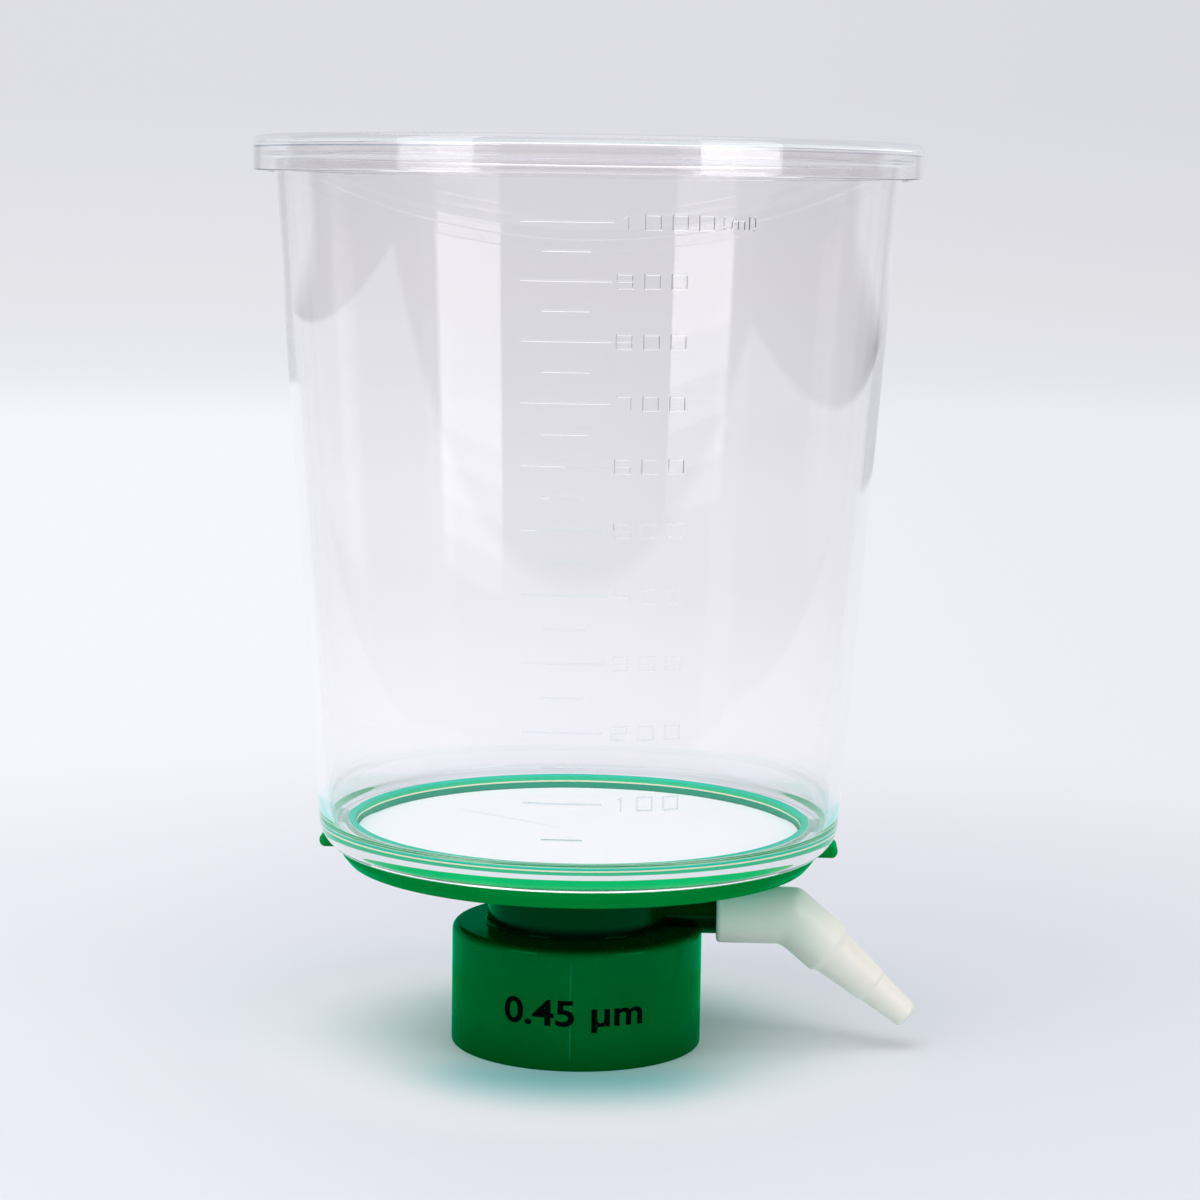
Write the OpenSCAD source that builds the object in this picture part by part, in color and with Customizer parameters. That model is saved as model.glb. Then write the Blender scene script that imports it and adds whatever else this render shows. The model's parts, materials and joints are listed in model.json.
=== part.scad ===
// Bottle-top vacuum filtration unit, 1000 ml.
// A clear funnel with a loose lid sits on a green base that carries the membrane.
// The collar under the base screws onto a 45 mm bottle neck, and a push-fit elbow on
// its vacuum port takes the pump hose. Base and collar are one moulding, cut at the
// plate's underside into two plain shapes.
//
// Millimetres, +Z up. The origin is on the axis, in the plane of the collar's mouth.
// The vacuum port points along +X and the graduations face -Y.

/* [Membrane] */
// Diameter of the membrane disc
membrane_d = 85.8; // [60:0.2:120]
// Thickness of the membrane disc
membrane_t = 0.3; // [0.2:0.1:0.6]
// Gap between the membrane's edge and the ring round it
membrane_gap = 0.3; // [0.1:0.1:1]

/* [Base plate] */
// Wall of the upstanding ring round the membrane
ring_wall = 1.4; // [1:0.1:3]
// Height of the ring above the membrane seat
ring_h = 2.9; // [1.5:0.1:5]
// Height of the membrane seat above the funnel seat
seat_rise = 1.7; // [1:0.1:3]
// Thickness of the plate under the support ribs
plate_t = 1.5; // [1:0.1:3]
// Depth of the base's rim, from the funnel seat down to its lower edge
rim_depth = 3.5; // [3:0.1:8]
// How far the rim's lower edge draws in from its upper edge
rim_draw = 1.3; // [0.5:0.1:2]
// Wall of the rim's lower edge
rim_wall = 1.7; // [1:0.1:3]
// Radial space between two support ribs
rib_pitch = 4.8; // [3:0.1:8]
// Width of one support rib
rib_w = 1.2; // [0.8:0.1:2]
// Width of the flat land that the membrane is sealed to
seal_w = 3; // [1.5:0.1:5]
// Number of radial drain channels through the support ribs
channels = 12; // [4:1:24]
// Width of one drain channel
channel_w = 1.6; // [1:0.1:3]
// Number of stiffening webs under the plate
webs = 8; // [3:1:16]
// Thickness of one stiffening web
web_t = 1.4; // [1:0.1:3]
// Gap between a web's inner end and the neck
web_gap = 0.3; // [0.1:0.1:2]

/* [Lugs] */
// Reach of each lug beyond the rim
lug_reach = 4.1; // [2.5:0.1:8]
// Width of each lug
lug_w = 8; // [4:0.1:14]
// Thickness of each lug
lug_t = 2.9; // [2:0.1:3.5]
// Height of the lug's top above the funnel seat
lug_rise = 0.3; // [0:0.1:1]

/* [Neck and collar] */
// Bore of the collar, which goes over the bottle's thread
collar_bore_d = 45.5; // [38:0.1:60]
// Wall of the collar
collar_wall = 1.5; // [1.2:0.1:4]
// Height of the collar
collar_h = 23.3; // [16:0.1:40]
// Thickness of the collar's top wall
ceiling_t = 1.8; // [1:0.1:4]
// Radius of the collar's upper outer edge
collar_round = 1.4; // [0.5:0.1:1.5]
// Chamfer on the outside of the collar's mouth
mouth_chamfer = 0.4; // [0.2:0.1:0.8]
// Outer diameter of the neck between the collar and the plate
neck_d = 34.8; // [24:0.1:40]
// Wall of the neck
neck_wall = 1.8; // [1.2:0.1:4]
// Clear height between the collar's top and the rim's lower edge
neck_h = 12.7; // [10.5:0.1:25]
// Bore of the outlet tube under the plate
outlet_bore_d = 5.2; // [3:0.1:8]
// Wall of the outlet tube
outlet_wall = 1.4; // [1:0.1:3]
// How far the outlet tube stops above the collar's top wall, from that wall's underside
outlet_lift = 0.3; // [0.2:0.1:4]

/* [Neck gasket] */
// Thickness of the gasket under the collar's top wall
gasket_t = 1.2; // [0.6:0.1:3]
// Radial width of the gasket
gasket_w = 5.2; // [3:0.1:8]
// Gap between the gasket's edge and its recess
gasket_gap = 0.1; // [0.05:0.05:0.3]
// Width of the shoulder between the collar's bore and the gasket's recess
recess_step = 0.6; // [0.3:0.1:1.5]

/* [Vacuum port] */
// Outer diameter of the port
port_d = 7.7; // [6:0.1:8]
// Bore of the port
port_bore_d = 4.4; // [2:0.1:5]
// Height of the port's axis above the collar's top
port_rise = 2.15; // [1:0.05:4]
// Length of port that shows between the collar and the hose adapter
port_show = 2.75; // [1:0.05:10]
// Length of port inside the hose adapter's socket
port_grip = 9; // [4:0.5:12]

/* [Hose adapter] */
// Radial clearance of the socket on the port
socket_fit = 0.05; // [0.02:0.01:0.1]
// Wall of the socket
socket_wall = 1.65; // [1.2:0.05:3]
// Length of socket from its mouth to the bend
socket_len = 14.3; // [13:0.1:25]
// Gap between the port's end and the bottom of the socket
socket_stop_gap = 0.3; // [0.1:0.1:1]
// Angle of the hose arm below the socket's axis
arm_angle = 40; // [20:1:60]
// Outer diameter of the hose arm at the bend
arm_d = 10.8; // [9:0.1:13]
// Length of the arm's plain stretch from the bend to the first step
arm_plain = 10.5; // [7:0.1:15]
// Length of the first tapered step
step1_len = 10.4; // [5:0.1:15]
// Diameter of the first tapered step at its root
step1_d = 9.3; // [8:0.1:10.5]
// Length of the second tapered step
step2_len = 9.4; // [5:0.1:15]
// Diameter of the second tapered step at its root
step2_d = 6.8; // [6:0.1:7.4]
// Taper of the two steps, in millimetres of diameter for each millimetre of length
step_taper = 0.18; // [0.05:0.01:0.2]
// Bore of the hose arm
arm_bore_d = 3.4; // [2:0.1:3.8]
// Radius of the rounded outer edges
adapter_round = 0.9; // [0.3:0.1:1]

/* [Funnel] */
// Radial clearance between the ring and the funnel's foot
foot_fit = 0.1; // [0.05:0.05:0.3]
// Width of the funnel's foot
foot_w = 2.8; // [2:0.1:5]
// How far the foot overhangs the base's rim
foot_overhang = 1.5; // [0.5:0.1:2]
// Height of the foot's straight outer edge
foot_edge = 0.7; // [0.3:0.1:2]
// How far the shoulder swells out beyond the foot
shoulder_w = 2.65; // [1:0.05:6]
// Height of the rounded shoulder
shoulder_h = 5; // [3:0.1:10]
// Height of the rounded corner between the foot and the wall, inside the funnel
corner_h = 2.2; // [1:0.1:4]
// Wall of the funnel
funnel_wall = 1.8; // [1.2:0.05:3]
// Height of the funnel from its seat to its brim
funnel_h = 132.5; // [80:0.5:200]
// How far the funnel's wall leans out over its height
funnel_lean = 9.1; // [4:0.1:20]
// Width of the brim's flange beyond the wall
brim_w = 2.05; // [1:0.05:4]
// Thickness of the brim's flange
brim_t = 2.6; // [1.5:0.1:4]

/* [Graduations] */
// Height of the empty level above the funnel seat
scale_zero = 3.5; // [0:0.1:10]
// Number of numbered lines
scale_count = 10; // [2:1:12]
// Volume between two numbered lines, in millilitres
scale_step_ml = 100; // [50:10:120]
// Angle that a numbered line spans, in degrees
long_span = 16; // [8:1:30]
// Angle that a line between two numbers spans, in degrees
short_span = 8.5; // [4:0.5:20]
// Angle of the lines' middle from -Y towards +X, in degrees
scale_turn = -1; // [-20:1:20]
// Height of a line on the wall
line_t = 0.55; // [0.3:0.05:1]
// How far a line stands out of the wall
line_relief = 0.25; // [0.1:0.05:0.5]

/* [Lid] */
// Radial clearance between the brim and the lid's skirt
lid_fit = 0.3; // [0.2:0.05:1]
// Wall of the lid's skirt
lid_wall = 1.4; // [1:0.1:3]
// Thickness of the lid's top
lid_top_t = 1.6; // [1:0.1:3]
// Depth of the lid's skirt below its top
skirt_h = 5.1; // [3:0.1:15]
// Radius of the lid's upper outer edge
lid_round = 1.1; // [0.5:0.1:1.4]

/* [Hidden] */
$fn = 96;
overlap = 0.5;   // how far joined shapes run into each other
arc_steps = 8;   // straight pieces in a rounded edge's outline

// heights
collar_top = collar_h;
ceiling_z = collar_top - ceiling_t;
gasket_z = ceiling_z - gasket_t;
rim_z = collar_top + neck_h;
seat_z = rim_z + rim_depth;             // the funnel stands here
membrane_z = seat_z + seat_rise;
ring_top = membrane_z + ring_h;
plate_top = seat_z;                     // foot of the support ribs
plate_z = plate_top - plate_t;
brim_z = seat_z + funnel_h;
port_z = collar_top + port_rise;

// radii
membrane_r = membrane_d / 2;
ring_in_r = membrane_r + membrane_gap;
ring_out_r = ring_in_r + ring_wall;
land_r = ring_in_r - seal_w;
foot_in_r = ring_out_r + foot_fit;
foot_out_r = foot_in_r + foot_w;
rim_r = foot_out_r - foot_overhang;
rim_low_r = rim_r - rim_draw;
rim_in_r = rim_low_r - rim_wall;
shoulder_r = foot_out_r + shoulder_w;
shoulder_z = seat_z + foot_edge + shoulder_h;
wall_top_r = shoulder_r + funnel_lean;
brim_r = wall_top_r + brim_w;
skirt_r = brim_r + lid_fit;
lid_r = skirt_r + lid_wall;
bore_r = collar_bore_d / 2;
collar_r = bore_r + collar_wall;
recess_r = bore_r - recess_step;
gasket_r = recess_r - gasket_gap;
neck_r = neck_d / 2;
neck_in_r = neck_r - neck_wall;
outlet_r = outlet_bore_d / 2 + outlet_wall;
port_r = port_d / 2;

// hose adapter, along the port's axis
socket_bore_r = port_r + socket_fit;
socket_r = socket_bore_r + socket_wall;
socket_x = collar_r + port_show;
port_end_x = socket_x + port_grip;
bend_x = socket_x + socket_len;

// Outer radius of the funnel's wall at height z
function wall_r(z) = shoulder_r + funnel_lean * (z - shoulder_z) / (brim_z - shoulder_z);

// Points of an arc about c, from angle a to angle b
function arc(c, r, a, b) =
    [for (i = [0 : arc_steps]) let (t = a + (b - a) * i / arc_steps)
        [c[0] + r * cos(t), c[1] + r * sin(t)]];

// Points of an elliptic arc about c, with half axes rx and rz
function oval_arc(c, rx, rz, a, b) =
    [for (i = [0 : arc_steps]) let (t = a + (b - a) * i / arc_steps)
        [c[0] + rx * cos(t), c[1] + rz * sin(t)]];

// Volume in millilitres that the funnel holds between its empty level and height z
function held_ml(z) =
    let (z0 = seat_z + scale_zero,
         a = wall_r(z0) - funnel_wall,
         b = wall_r(z) - funnel_wall)
    PI * (z - z0) * (a * a + a * b + b * b) / 3 / 1000;

// Height at which the funnel holds ml millilitres, by halving the span from low to high
function level_z(ml, low, high, turns = 24) =
    turns == 0 ? (low + high) / 2 :
    let (mid = (low + high) / 2)
    held_ml(mid) < ml ? level_z(ml, mid, high, turns - 1) : level_z(ml, low, mid, turns - 1);

module lid() {
    color([0.92, 0.95, 0.98, 0.35])
    rotate_extrude()
    polygon(concat(
        [[0, brim_z], [skirt_r, brim_z], [skirt_r, brim_z - skirt_h], [lid_r, brim_z - skirt_h]],
        arc([lid_r - lid_round, brim_z + lid_top_t - lid_round], lid_round, 0, 90),
        [[0, brim_z + lid_top_t]]));
}

// One raised line on the funnel's wall at height z
module scale_line(z, span) {
    low = z - line_t / 2;
    high = z + line_t / 2;
    rotate([0, 0, -90 + scale_turn - span / 2])
    rotate_extrude(angle = span)
    polygon([
        [wall_r(low) - overlap, low], [wall_r(low) + line_relief, low],
        [wall_r(high) + line_relief, high], [wall_r(high) - overlap, high]]);
}

module scale_lines() {
    for (i = [1 : scale_count]) {
        scale_line(level_z(i * scale_step_ml, seat_z, brim_z), long_span);
        scale_line(level_z((i - 0.5) * scale_step_ml, seat_z, brim_z), short_span);
    }
}

module funnel() {
    color([0.92, 0.95, 0.98, 0.35])
    union() {
        rotate_extrude()
        polygon(concat(
            [[foot_in_r, seat_z], [foot_out_r, seat_z]],
            oval_arc([foot_out_r, shoulder_z], shoulder_w, shoulder_h, -90, 0),
            [[wall_r(brim_z - brim_t), brim_z - brim_t],
             [brim_r, brim_z - brim_t],
             [brim_r, brim_z],
             [wall_top_r - funnel_wall, brim_z]],
            oval_arc([foot_in_r, ring_top + corner_h],
                shoulder_r - funnel_wall - foot_in_r, corner_h, 0, -90)));
        scale_lines();
    }
}

module membrane() {
    color("white")
    translate([0, 0, membrane_z])
    cylinder(r = membrane_r, h = membrane_t);
}

// Concentric support ribs under the membrane, cut by radial drain channels
module support_ribs() {
    difference() {
        for (r = [outlet_bore_d / 2 + rib_pitch : rib_pitch : land_r - rib_w])
            translate([0, 0, plate_top - overlap])
            difference() {
                cylinder(r = r + rib_w / 2, h = seat_rise + overlap);
                translate([0, 0, -overlap])
                cylinder(r = r - rib_w / 2, h = seat_rise + 3 * overlap);
            }
        for (i = [0 : channels - 1])
            rotate([0, 0, 360 * i / channels])
            translate([0, -channel_w / 2, plate_top])
            cube([land_r, channel_w, 2 * seat_rise]);
    }
}

// One side lug, a rounded tab that passes under the funnel's foot
module lug() {
    lug_end = rim_r + lug_reach;
    top = seat_z + lug_rise;
    difference() {
        union() {
            translate([rim_r - 2 * overlap, -lug_w / 2, top - lug_t])
            cube([lug_reach + 2 * overlap - lug_t / 2, lug_w, lug_t]);
            translate([lug_end - lug_t / 2, lug_w / 2, top - lug_t / 2])
            rotate([90, 0, 0])
            cylinder(d = lug_t, h = lug_w);
        }
        translate([0, 0, seat_z])
        cylinder(r = foot_out_r + foot_fit, h = lug_t);
    }
}

// Stiffening webs under the plate, from close to the neck out to the rim
module plate_webs() {
    web_z = rim_z + rim_wall / 2;
    for (i = [0 : webs - 1])
        rotate([0, 0, 360 * (i + 0.5) / webs])
        translate([neck_r + web_gap, -web_t / 2, web_z])
        cube([rim_in_r - neck_r - web_gap + overlap, web_t, plate_z - web_z + overlap]);
}

// Plate with its rim, the ring round the membrane and the outlet tube
module base() {
    tube_z = ceiling_z + outlet_lift;
    color([0.0, 0.45, 0.2])
    union() {
        rotate_extrude()
        polygon(concat(
            [[outlet_bore_d / 2, tube_z], [outlet_r, tube_z], [outlet_r, plate_z],
             [rim_in_r, plate_z], [rim_in_r, rim_z]],
            arc([rim_low_r - rim_wall / 2, rim_z + rim_wall / 2], rim_wall / 2, -90, 0),
            [[rim_r, rim_z + rim_depth / 2], [rim_r, seat_z], [ring_out_r, seat_z],
             [ring_out_r, ring_top], [ring_in_r, ring_top], [ring_in_r, membrane_z],
             [land_r, membrane_z], [land_r, plate_top], [outlet_bore_d / 2, plate_top]]));
        support_ribs();
        plate_webs();
        for (side = [0, 180]) rotate([0, 0, side]) lug();
    }
}

// Threaded collar, the neck above it and the vacuum port, under the base
module collar() {
    port_root_x = neck_in_r + neck_wall / 2;
    color([0.0, 0.4, 0.18])
    difference() {
        union() {
            rotate_extrude()
            polygon(concat(
                [[bore_r, 0], [collar_r - mouth_chamfer, 0], [collar_r, mouth_chamfer]],
                arc([collar_r - collar_round, collar_top - collar_round], collar_round, 0, 90),
                [[neck_r, collar_top], [neck_r, plate_z], [neck_in_r, plate_z], [neck_in_r, ceiling_z],
                 [recess_r, ceiling_z], [recess_r, gasket_z], [bore_r, gasket_z]]));
            translate([port_root_x, 0, port_z])
            rotate([0, 90, 0])
            cylinder(r = port_r, h = port_end_x - port_root_x);
        }
        translate([neck_in_r - neck_wall, 0, port_z])
        rotate([0, 90, 0])
        cylinder(d = port_bore_d, h = port_end_x);
    }
}

module neck_gasket() {
    color([0.85, 0.86, 0.85])
    translate([0, 0, gasket_z])
    difference() {
        cylinder(r = gasket_r, h = gasket_t);
        translate([0, 0, -overlap])
        cylinder(r = gasket_r - gasket_w, h = gasket_t + 2 * overlap);
    }
}

module hose_adapter() {
    tip_r = (step2_d - step_taper * step2_len) / 2;
    arm_len = arm_plain + step1_len + step2_len;
    color([0.93, 0.93, 0.88])
    translate([0, 0, port_z])
    rotate([0, 90, 0])
    difference() {
        union() {
            // socket, from its mouth to the bend
            translate([0, 0, socket_x])
            rotate_extrude()
            polygon(concat(
                [[0, 0]],
                arc([socket_r - adapter_round, adapter_round], adapter_round, -90, 0),
                [[socket_r, socket_len], [0, socket_len]]));
            translate([0, 0, bend_x]) sphere(r = arm_d / 2);
            // hose arm, below the socket's axis
            translate([0, 0, bend_x])
            rotate([0, arm_angle, 0])
            rotate_extrude()
            polygon(concat(
                [[0, 0], [arm_d / 2, 0]],
                arc([arm_d / 2 - adapter_round / 2, arm_plain - adapter_round / 2], adapter_round / 2, 0, 90),
                [[step1_d / 2, arm_plain], [step1_d / 2 - step_taper * step1_len / 2, arm_plain + step1_len],
                 [step2_d / 2, arm_plain + step1_len]],
                arc([tip_r - adapter_round, arm_len - adapter_round], adapter_round, 0, 90),
                [[0, arm_len]]));
        }
        // socket bore on the port, then the air way through the bend
        translate([0, 0, socket_x - overlap])
        cylinder(r = socket_bore_r, h = port_grip + socket_stop_gap + overlap);
        translate([0, 0, socket_x])
        cylinder(d = arm_bore_d, h = socket_len);
        translate([0, 0, bend_x]) sphere(d = arm_bore_d);
        translate([0, 0, bend_x])
        rotate([0, arm_angle, 0])
        cylinder(d = arm_bore_d, h = arm_len + overlap);
    }
}

lid();
funnel();
membrane();
base();
collar();
neck_gasket();
hose_adapter();
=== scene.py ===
# %% [markdown]
# # A bottle-top vacuum filter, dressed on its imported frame
#
# The unit is a clear graduated funnel with a loose lid, a white membrane, one green
# moulding that holds the membrane and screws onto a bottle, a gasket in its collar, and
# an ivory hose elbow that swivels on the vacuum port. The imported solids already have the
# right sizes and places. This lesson gives every moulding the rounded edges, the finish
# and the small marks that catch light on the real part.
#
# Frame: +Z up, the origin on the axis in the plane of the collar's mouth, the port along
# +X, the graduations towards -Y. Sizes below are in millimetres, and become metres when
# a mesh is made.

# %% Load the frame
import json

import bmesh
import bpy
import numpy as np
from mathutils import Matrix, Vector


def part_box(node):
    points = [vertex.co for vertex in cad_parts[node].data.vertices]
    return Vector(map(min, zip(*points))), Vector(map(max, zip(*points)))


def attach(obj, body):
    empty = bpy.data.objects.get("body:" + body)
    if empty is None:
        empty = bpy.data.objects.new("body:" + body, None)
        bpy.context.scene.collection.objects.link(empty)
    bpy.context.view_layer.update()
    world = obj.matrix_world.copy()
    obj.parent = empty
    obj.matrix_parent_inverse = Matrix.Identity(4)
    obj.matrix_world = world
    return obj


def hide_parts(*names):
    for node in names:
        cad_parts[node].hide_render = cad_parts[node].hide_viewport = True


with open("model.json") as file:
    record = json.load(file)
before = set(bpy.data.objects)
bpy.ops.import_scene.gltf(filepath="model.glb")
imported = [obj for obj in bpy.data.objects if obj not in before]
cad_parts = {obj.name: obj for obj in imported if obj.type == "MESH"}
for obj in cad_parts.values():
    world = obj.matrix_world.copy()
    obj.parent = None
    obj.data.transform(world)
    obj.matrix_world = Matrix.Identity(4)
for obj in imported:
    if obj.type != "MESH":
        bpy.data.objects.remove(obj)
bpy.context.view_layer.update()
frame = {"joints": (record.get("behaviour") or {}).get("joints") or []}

# %% [markdown]
# ## Sizes that the frame gives
#
# What fits or lines up with another piece takes its place from the imported solids, so a
# new model.glb moves it here too. The boxes come from meshes, a few microns inside the true
# curves, so they are rounded to a twentieth of a millimetre.

# %% Read the driving sizes
MM = 0.001


def box_mm(node):
    """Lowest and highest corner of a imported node, in millimetres, to the nearest 0.05."""
    corners = np.array([list(corner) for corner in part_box(node)]) / MM
    return np.round(corners * 20) / 20


lid_low, lid_high = box_mm("lid")
funnel_low, funnel_high = box_mm("funnel")
membrane_low, membrane_high = box_mm("membrane")
base_low, base_high = box_mm("base")
collar_high = box_mm("collar")[1]
gasket_low, gasket_high = box_mm("neck_gasket")
adapter_low = box_mm("hose_adapter")[0]

seat_z = funnel_low[2]
brim_z = funnel_high[2]
brim_r = funnel_high[1]
membrane_r = membrane_high[1]
membrane_z = membrane_low[2]
ring_top = base_high[2]
rim_r = base_high[1]
tube_z = base_low[2]
collar_r = collar_high[1]
plate_z = collar_high[2]
port_end = collar_high[0]
gasket_r = gasket_high[1]
gasket_z = gasket_low[2]
ceiling_z = gasket_high[2]
socket_x = adapter_low[0]
port_z = frame["joints"][0]["pos_m"][2] / MM
print(f"seat {seat_z}, brim {brim_z} at r {brim_r}, collar r {collar_r}, port to x {port_end}")

# %% [markdown]
# ## Sizes of the funnel's wall
#
# The wall is measured first, because its finish needs it as well as its shape: the
# raised marks of the scale are told from the wall by how far they stand out from it.

# %% Sizes of the funnel's wall
FOOT_IN_R = 44.7
FOOT_OUT_R = 47.5
FOOT_EDGE = 0.7
SHOULDER_W = 2.65
SHOULDER_H = 5.0
WALL = 1.8
LEAN = 9.1
SHOULDER_R = FOOT_OUT_R + SHOULDER_W
SHOULDER_Z = seat_z + FOOT_EDGE + SHOULDER_H
print(f"the wall leans out {LEAN} mm from r {SHOULDER_R} at z {SHOULDER_Z}")

# %% [markdown]
# ## Surfaces as grids
#
# A moulding like this is nearly all turned or swept shapes, so each one is a grid of
# points: rows run along an outline, columns run round it. One helper turns such grids
# into a closed mesh. Lathe-like modifiers would do the same, but a grid keeps the rows
# where the light needs them, close to each rounded edge.

# %% Grids to meshes
def grid_faces(rows, columns, closed):
    """Corner numbers of the quads between neighbours on a grid whose columns wrap round.

    Quad (i, j) joins point (i, j) to (i, j + 1), (i + 1, j + 1) and (i + 1, j). The last
    row joins the first one again where closed is true.
    """
    index = np.arange(rows * columns).reshape(rows, columns)
    right = np.roll(index, -1, axis=1)
    above = np.roll(index, -1, axis=0)
    right_above = np.roll(right, -1, axis=0)
    quads = np.stack([index, right, right_above, above], axis=-1)
    return quads[: rows if closed else rows - 1].reshape(-1, 4)


WELD = 1e-7           # metres between points that count as one


def weld(mesh):
    """Merges the points of a mesh that lie within a tenth of a micron of each other."""
    shape = bmesh.new()
    shape.from_mesh(mesh)
    bmesh.ops.remove_doubles(shape, verts=shape.verts, dist=WELD)
    shape.to_mesh(mesh)
    shape.free()


def skin(name, grids):
    """One mesh object over several grids of points in millimetres, each rows x columns x 3.

    A grid whose first or last row is a single point has poles, and any other closes on
    itself like a ring. Points that coincide are merged, which closes the poles.
    """
    points = []
    faces = []
    start = 0
    for grid in grids:
        rows, columns, _ = grid.shape
        has_poles = np.ptp(grid[[0, -1]], axis=1).max(axis=-1).min() < 1e-6
        points.append(grid.reshape(-1, 3))
        faces.append(grid_faces(rows, columns, not has_poles) + start)
        start += rows * columns
    mesh = bpy.data.meshes.new(name)
    mesh.from_pydata(np.concatenate(points) * MM, [], np.concatenate(faces))
    weld(mesh)
    piece = bpy.data.objects.new(name, mesh)
    bpy.context.scene.collection.objects.link(piece)
    return piece


def smooth(piece, angle=35):
    """Shades a piece smooth, with edges sharper than angle in degrees left crisp.

    It is welded first, because a Boolean leaves slivers with no area where edges meet.
    """
    weld(piece.data)
    piece.data.shade_smooth()
    piece.data.set_sharp_from_angle(angle=np.radians(angle))
    piece.data.calc_loop_triangles()
    print(f"{piece.name}: {len(piece.data.loop_triangles)} triangles")
    return piece


# %% [markdown]
# ## Outlines with rounded corners
#
# Moulded plastic has no sharp corner: a corner is a small arc, and the bright line that
# the arc reflects is what makes an edge look real. The outline of a turned piece is a
# short list of corners, each with its own radius. A hold point just before and after
# each arc keeps the flat stretches flat when the mesh is shaded smooth.

# %% Rounded outlines
def rounded(corners, steps=5, hold=0.25):
    """Closed outline through corners (u, v, radius) in millimetres, as an n x 2 array.

    At a corner with half angle h between its two sides, the arc touches both sides at
    radius / tan(h) from the corner, and its centre lies on the bisector at
    radius / sin(h). A corner with radius 0 stays one point.
    """
    corners = np.array(corners, dtype=float)
    corner, radius = corners[:, :2], corners[:, 2:]
    back = np.roll(corner, 1, axis=0) - corner
    ahead = np.roll(corner, -1, axis=0) - corner
    back /= np.linalg.norm(back, axis=1, keepdims=True)
    ahead /= np.linalg.norm(ahead, axis=1, keepdims=True)
    half = np.arccos(np.clip((back * ahead).sum(axis=1, keepdims=True), -1, 1)) / 2
    bisector = back + ahead
    bisector /= np.maximum(np.linalg.norm(bisector, axis=1, keepdims=True), 1e-9)
    reach = radius / np.tan(half)
    centre = corner + bisector * radius / np.sin(half)
    first = corner + back * reach - centre
    last = corner + ahead * reach - centre
    cross = first[:, :1] * last[:, 1:] - first[:, 1:] * last[:, :1]
    dot = (first * last).sum(axis=1, keepdims=True)
    turn = np.arctan2(cross, dot) * np.linspace(0, 1, steps + 1)
    x, y = first[:, :1], first[:, 1:]
    along = x * np.cos(turn) - y * np.sin(turn)
    up = x * np.sin(turn) + y * np.cos(turn)
    arc = np.stack([along, up], axis=-1) + centre[:, None, :]
    before = (corner + back * (reach + hold))[:, None, :]
    after = (corner + ahead * (reach + hold))[:, None, :]
    path = np.concatenate([before, arc, after], axis=1)
    keep = np.repeat(radius > 0, steps + 3, axis=1)
    keep[:, 1] = True
    return path[keep]


def ellipse_corners(centre, half_u, half_v, start, end, steps):
    """Corners with no radius on an arc: centre + (half_u cos t, half_v sin t), t in degrees."""
    t = np.radians(np.linspace(start, end, steps + 1))
    u = centre[0] + half_u * np.cos(t)
    v = centre[1] + half_v * np.sin(t)
    return list(np.stack([u, v, np.zeros_like(t)], axis=-1))


# %% Turning and sweeping
def round_azimuths(columns):
    """Evenly spaced azimuths for a full turn, in radians."""
    return np.linspace(0, 2 * np.pi, columns, endpoint=False)


def turned(outline, azimuths):
    """Grid of an outline (r, z) turned about Z: (r cos a, r sin a, z) at each azimuth a.

    An outline that climbs on the outside, comes in over the top and goes down inside
    gives faces that point outwards.
    """
    r, z = np.asarray(outline).T
    across = r[:, None] * np.cos(azimuths)
    along = r[:, None] * np.sin(azimuths)
    return np.stack([across, along, z[:, None] + 0 * along], axis=-1)


def swept(path, u_axis, v_axis, loop):
    """Grid of a closed loop (u, v) carried along a path, with a flat cap at each end.

    Each of the n path points has its own u and v axis, so the surface is
    path + u u_axis + v v_axis. u_axis x v_axis points along the path. loop is m x 2, or
    n x m x 2 where it changes on the way. Each cap is a fan round the loop's middle.
    """
    loop = np.broadcast_to(loop, (len(path),) + np.shape(loop)[-2:])
    body = path[:, None] + loop[..., :1] * u_axis[:, None] + loop[..., 1:] * v_axis[:, None]
    middle = np.repeat(body.mean(axis=1, keepdims=True), body.shape[1], axis=1)
    return np.concatenate([middle[:1], body, middle[-1:]])


# %% [markdown]
# ## Joining closed shapes
#
# The green piece and the funnel are single mouldings, so the port, lugs, thread and
# raised marks are united with the body by a Boolean modifier, which is then applied. The
# Manifold solver wants closed shapes that don't cross themselves, and every grid here is
# one.

# %% Boolean helper
def combine(body, other, operation="UNION"):
    """body united with other, or cut by it. other is used up."""
    modifier = body.modifiers.new("combine", "BOOLEAN")
    modifier.operation = operation
    modifier.solver = "MANIFOLD"
    modifier.object = other
    finished = body.evaluated_get(bpy.context.evaluated_depsgraph_get())
    mesh = bpy.data.meshes.new_from_object(finished)
    body.modifiers.clear()
    body.data = mesh
    bpy.data.objects.remove(other)
    return body


# %% [markdown]
# ## Shader maths as plain expressions
#
# A procedural finish is mostly arithmetic on a few patterns. A small class wraps an
# output socket, so that `1 - mask * 0.2` adds the Math nodes by itself, and its method
# node() adds any other node from its type, its settings and its inputs.

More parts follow.
